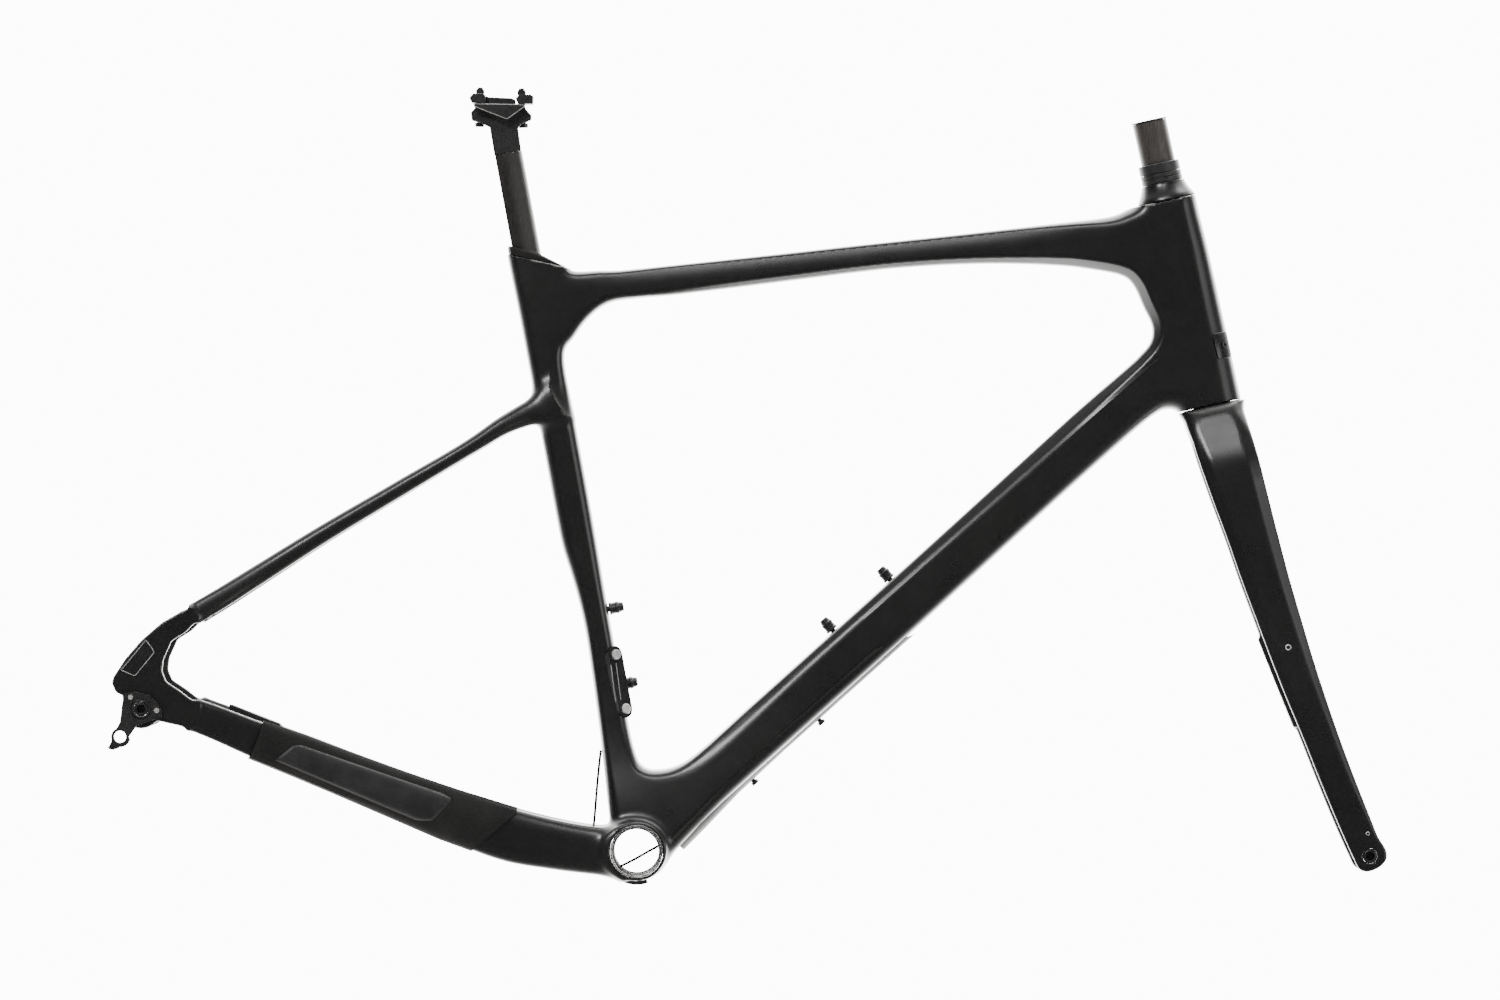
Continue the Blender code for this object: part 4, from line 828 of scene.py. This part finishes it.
def panel(name, upper, lower, surface, lift, body, finish):
    """A thin plate laid on the right side of a piece, between two lines."""
    count, across = 40, 8
    rings = []
    for i in range(count + 1):
        high, low = (along_line(line, i / count) for line in (upper, lower))
        spots = [low.lerp(high, k / across) for k in range(across + 1)]
        depths = [surface.at(*spot) or -0.04 for spot in spots]
        outer = [(p.x, y - lift * (0.4 if k in (0, across) or i in (0, count) else 1.0), p.y)
                 for k, (p, y) in enumerate(zip(spots, depths))]
        inner = [(p.x, y + 0.0004, p.y) for p, y in zip(spots, depths)]
        rings.append(outer + inner[::-1])
    return closed_solid(name, rings, body, finish)


def block(name, outline, low, high, body, finish, width=0.0003, place=WORLD):
    """An outline in the X and Z plane, thickened along Y and rounded a little."""
    rings = [[place @ Vector((x, y, z)) for x, z in outline] for y in (low, high)]
    return bevel(closed_solid(name, rings, body, finish), width)


def cradle_liner(finish):
    """A thin bearing strip under the cradle's arc; it tilts with the cradle."""
    inner, outer, half, end = 0.0238, 0.02482, 0.0121, asin(0.0203 / 0.0245)
    rings = []
    for i in range(33):
        angle = -pi / 2 - end + 2 * end * i / 32
        near, far = ((radius * cos(angle), radius * sin(angle)) for radius in (inner, outer))
        rings.append([CLAMP @ Vector((x, y, z)) for (x, z), y in (
            (near, -half), (far, -half), (far, half), (near, half))])
    closed_solid("cradle_liner", rings, "saddle_clamp", finish)


def along_line(path, share):
    """The point this share of the way along a line."""
    spots = [Vector(spot) for spot in path]
    lengths = [(b - a).length for a, b in zip(spots, spots[1:])]
    left = share * sum(lengths)
    for a, b, length in zip(spots, spots[1:], lengths):
        if left <= length:
            return a.lerp(b, left / length)
        left -= length
    return spots[-1]


# ---- the whole object ----
REAR_LINER = [
    (-0.038, -0.012, 0.0103), (-0.0382, -0.012, 0.022), (-0.0386, -0.0119, 0.034),
    (-0.0391, -0.0118, 0.046), (-0.0395, -0.0117, 0.058), (-0.0397, -0.0116, 0.07),
    (-0.0397, -0.0115, 0.08),
]
SHELL_LINER = [
    (-0.016, 0, -0.0174), (-0.011, 0, -0.0141), (-0.006, 0, -0.0108), (0, 0, -0.0067),
    (0.006, 0, -0.0023), (0.0115, 0, 0.0018), (0.0172, 0, 0.0058), (0.0266, 0, 0.0124),
]
FRAME_SKIN_NODES = (
    "head_tube", "seat_tube", "top_tube", "down_tube", "bottom_bracket_shell", "chainstay_right",
    "chainstay_left", "chainstay_yoke", "seatstay_right", "seatstay_left", "dropout_right", "dropout_left",
)
RIB = run(down, (0.262, 0.0206), (0.3, 0.0214), (0.38, 0.022), (0.45, 0.0222), (0.53, 0.0224),
          (0.58, 0.022), (0.6, 0.0212))
COVER_LINE = run(axle, (-0.0202, 0.0302), (-0.009, 0.0268), (-0.0078, 0.0275), (0.0052, 0.0478),
                 (0.0052, 0.049), (-0.0028, 0.0573), (-0.004, 0.057), (-0.0207, 0.0315),
                 (-0.0202, 0.0302))
WING_LINE = run(clamp, (-0.0214, -0.013), (0.0187, -0.013), (0.0203, -0.0144), (0.0059, -0.025),
                (-0.0214, -0.015), (-0.0214, -0.013))
HANGER_STOP = run(axle, (-0.0238, -0.035), (-0.022, -0.0364), (-0.0188, -0.0366), (-0.0152, -0.035),
                  (-0.011, -0.0315), (-0.0144, -0.0306), (-0.0176, -0.0302), (-0.0205, -0.0312))
BRIDGE = [(-0.0123, -0.0124), (0.0125, -0.0124), (0.0125, -0.0086), (0.009, -0.0072),
          (-0.0095, -0.0068), (-0.0123, -0.006)]
PANEL_TOP = [(-0.2945, 0.054), (-0.2871, 0.0552), (-0.2218, 0.041), (-0.1665, 0.0292), (-0.157, 0.0255)]
PANEL_LOW = [(-0.308, 0.0402), (-0.2482, 0.0225), (-0.185, 0.004), (-0.172, 0.0055)]


def liners(finish):
    """The stiff cable liner that stands up behind the seat tube, and the one across the shell."""
    rear = cable("rear_liner", REAR_LINER, 0.00105, "frame", finish)
    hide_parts("rear_cable_liner")
    shell = cable("shell_liner", SHELL_LINER, 0.00105, "frame", finish)
    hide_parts("shell_cable_liner")


def skins(finish):
    low, high = (-0.47, -0.086, -0.04), (0.466, 0.086, 0.625)
    whole = skin("frame_skin", FrameField(), low, high, FRAME_VOXEL, "frame", finish)
    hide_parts(*FRAME_SKIN_NODES)
    low, high = (-0.04, -0.068, -0.592), (0.07, 0.068, -0.17)
    fork = skin("fork_skin", ForkField(), low, high, FORK_VOXEL, "fork", finish, STEERING)
    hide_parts("fork_crown", "fork_leg_right", "fork_leg_left")
    return whole


def bearing_seats(finish):
    """Stepped rings in both ends of the shell."""
    for name, side in (("right", -1), ("left", 1)):
        profile = [
            (0.0218, 0.0426), (0.0218, 0.029), (0.0186, 0.029), (0.0186, 0.03), (0.0192, 0.0306),
            (0.0205, 0.0306), (0.0205, 0.042), (0.0209, 0.0426),
        ]
        spun("bearing_ring_" + name, profile, (0, 0, 0), (0, side, 0), WORLD, "frame", finish,
             "bearing_seat_" + name)


def band(inner, outer, low, high):
    """A plain ring's section."""
    return [(inner, low), (outer, low), (outer, high), (inner, high)]


def headset(finishes):
    """The cone, spacers, steerer, plug, race, seals and bearings round the steering axis."""
    def turned(name, profile, finish, node=None, body="fork", hexes=()):
        spun(name, profile, (0, 0, 0), (0, 0, 1), STEERING, body, finishes[finish], node, hexes)

    cone = [
        (0.0146, -0.006), (0.0167, -0.006), (0.0167, 0.0002), (0.024, 0.0002), (0.0237, 0.0022),
        (0.0226, 0.0044), (0.0213, 0.0066), (0.0201, 0.009), (0.019, 0.0116), (0.0182, 0.0138),
        (0.018, 0.0149), (0.0146, 0.0149),
    ]
    turned("headset_cone", cone, "satin_paint", "headset_cover")
    for name, low, high, groove in (("lower", 0.0152, 0.0233, 0.0194), ("upper", 0.0236, 0.0317, None)):
        profile = [(0.0146, low), (0.0168, low), (0.0172, low + 0.0004)]
        if groove:
            profile += [(0.0172, groove - 0.0005), (0.0166, groove - 0.0002),
                        (0.0166, groove + 0.0002), (0.0172, groove + 0.0005)]
        profile += [(0.0172, high - 0.0004), (0.0168, high), (0.0146, high)]
        turned("spacer_" + name, profile, "plastic", "headset_spacer_" + name)
    foot = -0.1775
    tube = [(0.0159, foot), (0.0159, foot + 0.03), (0.0143, foot + 0.075), (0.0143, 0.0672),
            (0.0118, 0.0672), (0.0118, foot)]
    turned("steerer", tube, "raw_carbon", "steerer_tube")
    plug = [(0.003, 0.02), (0.0115, 0.02), (0.0115, 0.0675), (0.0152, 0.0675),
            (0.0152, 0.0686), (0.0062, 0.0686), (0.0056, 0.068), (0.003, 0.068)]
    turned("plug", plug, "black_alloy", "compression_plug", hexes=(0, 7))
    turned("race", band(0.0163, 0.0238, foot, -0.1757), "black_alloy", "crown_race")
    turned("crown_seal", band(0.02, 0.0246, -0.1761, -0.1754), "liner_black")
    turned("cone_seal", band(0.02, 0.0242, 0.0001, 0.001), "liner_black")
    for name, inner, outer, low, high in (("upper", 0.017, 0.0209, -0.0077, -0.0008),
                                          ("lower", 0.0176, 0.0234, -0.1749, -0.1677)):
        middle = (low + high) / 2
        profile = [(inner, low), (outer, low), (outer, high), (outer - 0.0012, high),
                   (outer - 0.0015, middle), (inner + 0.0015, middle), (inner + 0.0012, high), (inner, high)]
        turned("bearing_" + name, profile, "silver_steel", name + "_headset_bearing", "frame")


def axles(alloy):
    """Thru axles with a hex socket in each end, ringed on the chain side and with a head on the left."""
    bore, thick, knob = 0.0035, AXLE_RADIUS, 0.0095
    ends = (
        ("rear", (REAR_AXLE[0], -0.0833, REAR_AXLE[1]), 0.1626, WORLD, "rear_axle"),
        ("front", (FORK_RAKE, -0.0612, -AXLE_DEPTH), 0.1235, STEERING, "front_axle"),
    )
    for name, start, length, place, body in ends:
        profile = [
            (0.0001, 0.009), (bore, 0.009), (bore, 0.0), (thick - 0.0014, 0.0), (thick - 0.0012, 0.0004),
            (thick - 0.0004, 0.0004), (thick, 0.0009), (thick, length), (knob, length),
            (knob, length + 0.005), (knob - 0.0012, length + 0.0062), (bore, length + 0.0062),
            (bore, length + 0.0012), (0.0001, length + 0.0012),
        ]
        spun(name + "_axle_bar", profile, start, (0, 1, 0), place, body, alloy,
             name + "_thru_axle", (1, 2, 11, 12))


def bottle_bolts(finish):
    """Ringed conical heads on the seat tube and the down tube."""
    profile = [
        (0.0024, -0.004), (0.0024, 0.0), (0.0052, 0.0), (0.0052, 0.0018), (0.0047, 0.0022),
        (0.0047, 0.0056), (0.005, 0.006), (0.005, 0.0078), (0.0041, 0.0087), (0.0042, 0.0093),
        (0.0034, 0.0122), (0.0021, 0.0122), (0.0021, 0.007),
    ]
    for name, height in (("upper", 0.203), ("lower", 0.139)):
        spun("seat_bolt_" + name, profile, (0.0143, 0, height), (1, 0, 0), SEAT, "frame", finish,
             "bottle_bolt_seat_" + name, (11, 12), 48)
    first = Vector((0.142, 0, 0.17))
    along = (Vector((0.258, 0, 0.3015)) - first).normalized()
    out = Vector((-along.z, 0, along.x))
    for name, reach in (("upper", 0.309), ("lower", 0.245)):
        start = first + along * (reach - 0.2215) + out * 0.0226
        spun("down_bolt_" + name, profile, start, out, WORLD, "frame", finish,
             "bottle_bolt_down_" + name, (11, 12), 48)


def leg_details(steel, dark):
    """The metal inserts in the right leg's outer face."""
    for name, x, z, radius in (("upper", 0.519, 0.234, 0.0026), ("lower", 0.603, 0.088, 0.0017)):
        back = STEERING.inverted() @ Vector((x, 0, z))
        wide = float(curve(np.array([back.z]), np.array(FORK_SHAPE)[::-1, :2])[0])
        spot, out = (back.x, -wide, back.z), (0, -1, 0)
        bore, pin = radius * 0.55, radius * 0.54
        insert = [(bore, -0.003), (radius, -0.003), (radius, 0.0002), (radius * 0.8, 0.0005),
                  (radius * 0.62, 0.0001), (bore, -0.001)]
        plug = [(0.0001, -0.0028), (pin, -0.0028), (pin, -0.0006), (0.0001, -0.0008)]
        spun("leg_insert_" + name, insert, spot, out, STEERING, "fork", steel, count=40)
        spun("leg_plug_" + name, plug, spot, out, STEERING, "fork", dark, count=24)


def fittings(finishes):
    """Rounded-off copies of the small parts that the CAD already draws closely; radii in mm."""
    rows = {
        ("frame", "black_alloy"): {
            "derailleur_hanger": 0.3, "hanger_axle_nut": 0.2, "cable_port_screw": 0.2,
            "seat_clamp_wedge": 0.4, "seat_clamp_screw": 0.3, "guard_bolt_lower": 0.3,
            "guard_bolt_upper": 0.3,
        },
        ("frame", "silver_steel"): {
            "hanger_screw_rear": 0.2, "hanger_screw_front": 0.2, "mech_screw_lower": 0.3,
            "mech_screw_upper": 0.3,
        },
        ("frame", "gloss_plastic"): {"dropout_cover": 0.3, "front_mech_cover": 0.9, "cable_port_cover": 0.4},
        ("frame", "rubber"): {"chainstay_protector": 0.6, "seat_clamp_cover": 1.0, "down_tube_guard": 0.8},
        ("frame", "plastic"): {"bottom_cable_guide": 0.5},
        ("seatpost", "post_carbon"): {"seatpost_tube": 0.8},
        ("seatpost", "black_alloy"): {"seatpost_head": 0.4},
        ("saddle_clamp", "black_alloy"): {
            "saddle_cradle": 0.4, "rail_clamp_rear": 0.7, "rail_clamp_front": 0.7,
            "barrel_nut_rear": 0.3, "barrel_nut_front": 0.3, "clamp_bolt_rear": 0.3,
            "clamp_bolt_front": 0.3,
        },
    }
    made = {}
    for (body, finish), nodes in rows.items():
        for node, width in nodes.items():
            made[node] = refined(node, body, finishes[finish], width / 1000)
    return made


def relief(whole, made, finishes):
    """The mouldings, panels and fine lines that stand on the larger pieces; the fine lines are light grey,
    painted highlights along edges and gaps.
    """
    sides = Surface(whole)
    for name, side in (("right", -1), ("left", 1)):
        rib("down_tube_rib_" + name, RIB, sides, 0.0026, 0.00045, "frame", finishes["satin_paint"], side)
    # The fine lines below are painted light grey: painted highlights where edges and gaps catch the light.
    highlight_paint = finishes["painted_highlight_grey"]
    drawn_line("dropout_cover_line", COVER_LINE, Surface(made["dropout_cover"]), 0.00035, "frame", highlight_paint)
    guard = Surface(made["chainstay_protector"])
    panel("protector_panel", PANEL_TOP, PANEL_LOW, guard, 0.0005, "frame", finishes["plastic"])
    drawn_line("wing_line", WING_LINE, Surface(made["saddle_cradle"]), 0.0003, "saddle_clamp", highlight_paint)
    lid = Surface(made["front_mech_cover"])
    for name, shift in (("rear", 0.0), ("front", 0.004)):
        line = [(-0.0398 + shift, 0.152 + shift / 2), (-0.0322 + shift, 0.122 + shift / 2)]
        drawn_line("mech_cover_line_" + name, line, lid, 0.00035, "frame", highlight_paint)


# ---- light ----
def math_node(tree, operation, first, second):
    node = add(tree, "Math")
    node.operation = operation
    put(tree, node.inputs[0], first)
    put(tree, node.inputs[1], second)
    return node.outputs[0]


def studio_world():
    """White behind the object and bright above and below it, but dark on the camera's side."""
    world = bpy.data.worlds.new("studio")
    bpy.context.scene.world = world
    world.use_nodes = True
    tree = world.node_tree
    tree.nodes.clear()
    split = add(tree, "SeparateXYZ", Vector=add(tree, "TexCoord").outputs["Generated"])

    def ramp(source, points):
        scaled = add(tree, "MapRange", Value=source, From_Min=-1.0)
        node = add(tree, "FloatCurve", Value=scaled.outputs["Result"])
        line = node.mapping.curves[0]
        line.points[0].location, line.points[1].location = points[0], points[-1]
        for spot in points[1:-1]:
            line.points.new(*spot)
        for point in line.points:
            point.handle_type = "VECTOR"
        node.mapping.update()
        return node.outputs["Value"]

    behind = ramp(split.outputs["Y"], [(0, 0.009), (0.08, 0.007), (0.25, 0.002), (0.55, 0.0), (0.68, 0.05),
                                       (0.8, 0.45), (0.9, 1), (1, 1)])
    rise = ramp(split.outputs["Z"], [(0, 0.22), (0.2, 0.17), (0.42, 0.03), (0.66, 0.01), (0.8, 0.14),
                                     (0.9, 0.3), (1, 0.36)])
    side = ramp(split.outputs["Y"], [(0, 0.03), (0.25, 0.07), (0.42, 0.4), (0.55, 1), (0.8, 1), (1, 1)])
    both = math_node(tree, "MULTIPLY", rise, side)
    total = math_node(tree, "MULTIPLY", math_node(tree, "ADD", both, behind), LIGHT)
    softly = add(tree, "Background", Strength=total, Color=(1.0, 0.99, 0.98))
    white = add(tree, "Background", Strength=WHITE)
    seen = add(tree, "LightPath").outputs["Is Camera Ray"]
    mixed = add(tree, "MixShader")
    for socket, value in zip(mixed.inputs, (seen, softly.outputs[0], white.outputs[0])):
        put(tree, socket, value)
    add(tree, "OutputWorld", Surface=mixed.outputs[0])


def area_light(name, spot, size, power):
    data = bpy.data.lights.new(name, "AREA")
    data.shape = "RECTANGLE"
    data.size, data.size_y = size
    data.energy = power
    made = linked(name, data)
    made.location = spot
    made.rotation_euler = (Vector(LIGHTS_AIM) - Vector(spot)).to_track_quat("-Z", "Y").to_euler()


def floor():
    """A pale sheet well below the object; the paint mirrors the studio instead of it."""
    bm = bmesh.new()
    bmesh.ops.create_grid(bm, x_segments=24, y_segments=24, size=2.6)
    for vert in bm.verts:
        vert.co.z = FLOOR_HEIGHT
    mesh = written(bm, bpy.data.meshes.new("floor"))
    sheet = Nodes("floor_sheet")
    color = sheet.mix(sheet.span(sheet.noise(3.0)), (0.8, 0.8, 0.8), (0.84, 0.84, 0.84))
    mesh.materials.append(sheet.finish(color, 0.8))
    made = linked("floor", mesh)
    made.visible_glossy = False


def finish_cad_nodes(finishes):
    """The CAD's own pieces take the same finishes, wherever they are shown."""
    names = {"satin_black_paint": "satin_paint", "black_rubber": "rubber", "black_plastic": "plastic"}
    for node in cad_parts.values():
        for slot in node.material_slots:
            name = slot.material.name if slot.material else "plastic"
            slot.material = finishes.get(names.get(name, name), finishes["plastic"])


def main():
    add_camera()
    makers = (satin_paint, raw_carbon, post_carbon, rubber, plastic, gloss_plastic, black_alloy,
              silver_steel, bare_alloy, liner_black, painted_highlight_grey)
    finishes = {maker.__name__: maker() for maker in makers}
    liners(finishes["liner_black"])
    finish_cad_nodes(finishes)
    frame_skin = skins(finishes["satin_paint"])
    bearing_seats(finishes["bare_alloy"])
    headset(finishes)
    axles(finishes["black_alloy"])
    bottle_bolts(finishes["plastic"])
    leg_details(finishes["silver_steel"], finishes["plastic"])
    relief(frame_skin, fittings(finishes), finishes)
    cradle_liner(finishes["plastic"])
    block("cradle_bridge", BRIDGE, -0.0115, 0.0115, "saddle_clamp", finishes["black_alloy"], 0.0007, CLAMP)
    block("hanger_stop", HANGER_STOP, -0.084, -0.08, "frame", finishes["black_alloy"])
    floor()
    studio_world()
    for name, spot, size, power in (
            ("over", (0.2, 0.4, 2.6), (3.0, 1.2), 60.0),
            ("upper_box", (0.0, -3.0, 2.25), (2.4, 0.7), 9.0),
            ("fork_box", (-0.35, -3.0, 2.9), (0.9, 0.6), 16.0),
            ("rib_box", (-1.46, -3.0, 2.05), (0.9, 0.6), 60.0),
            ("nose_box", (2.7, -1.8, 0.6), (2.0, 1.6), 28.0)):
        area_light(name, spot, size, power)


main()
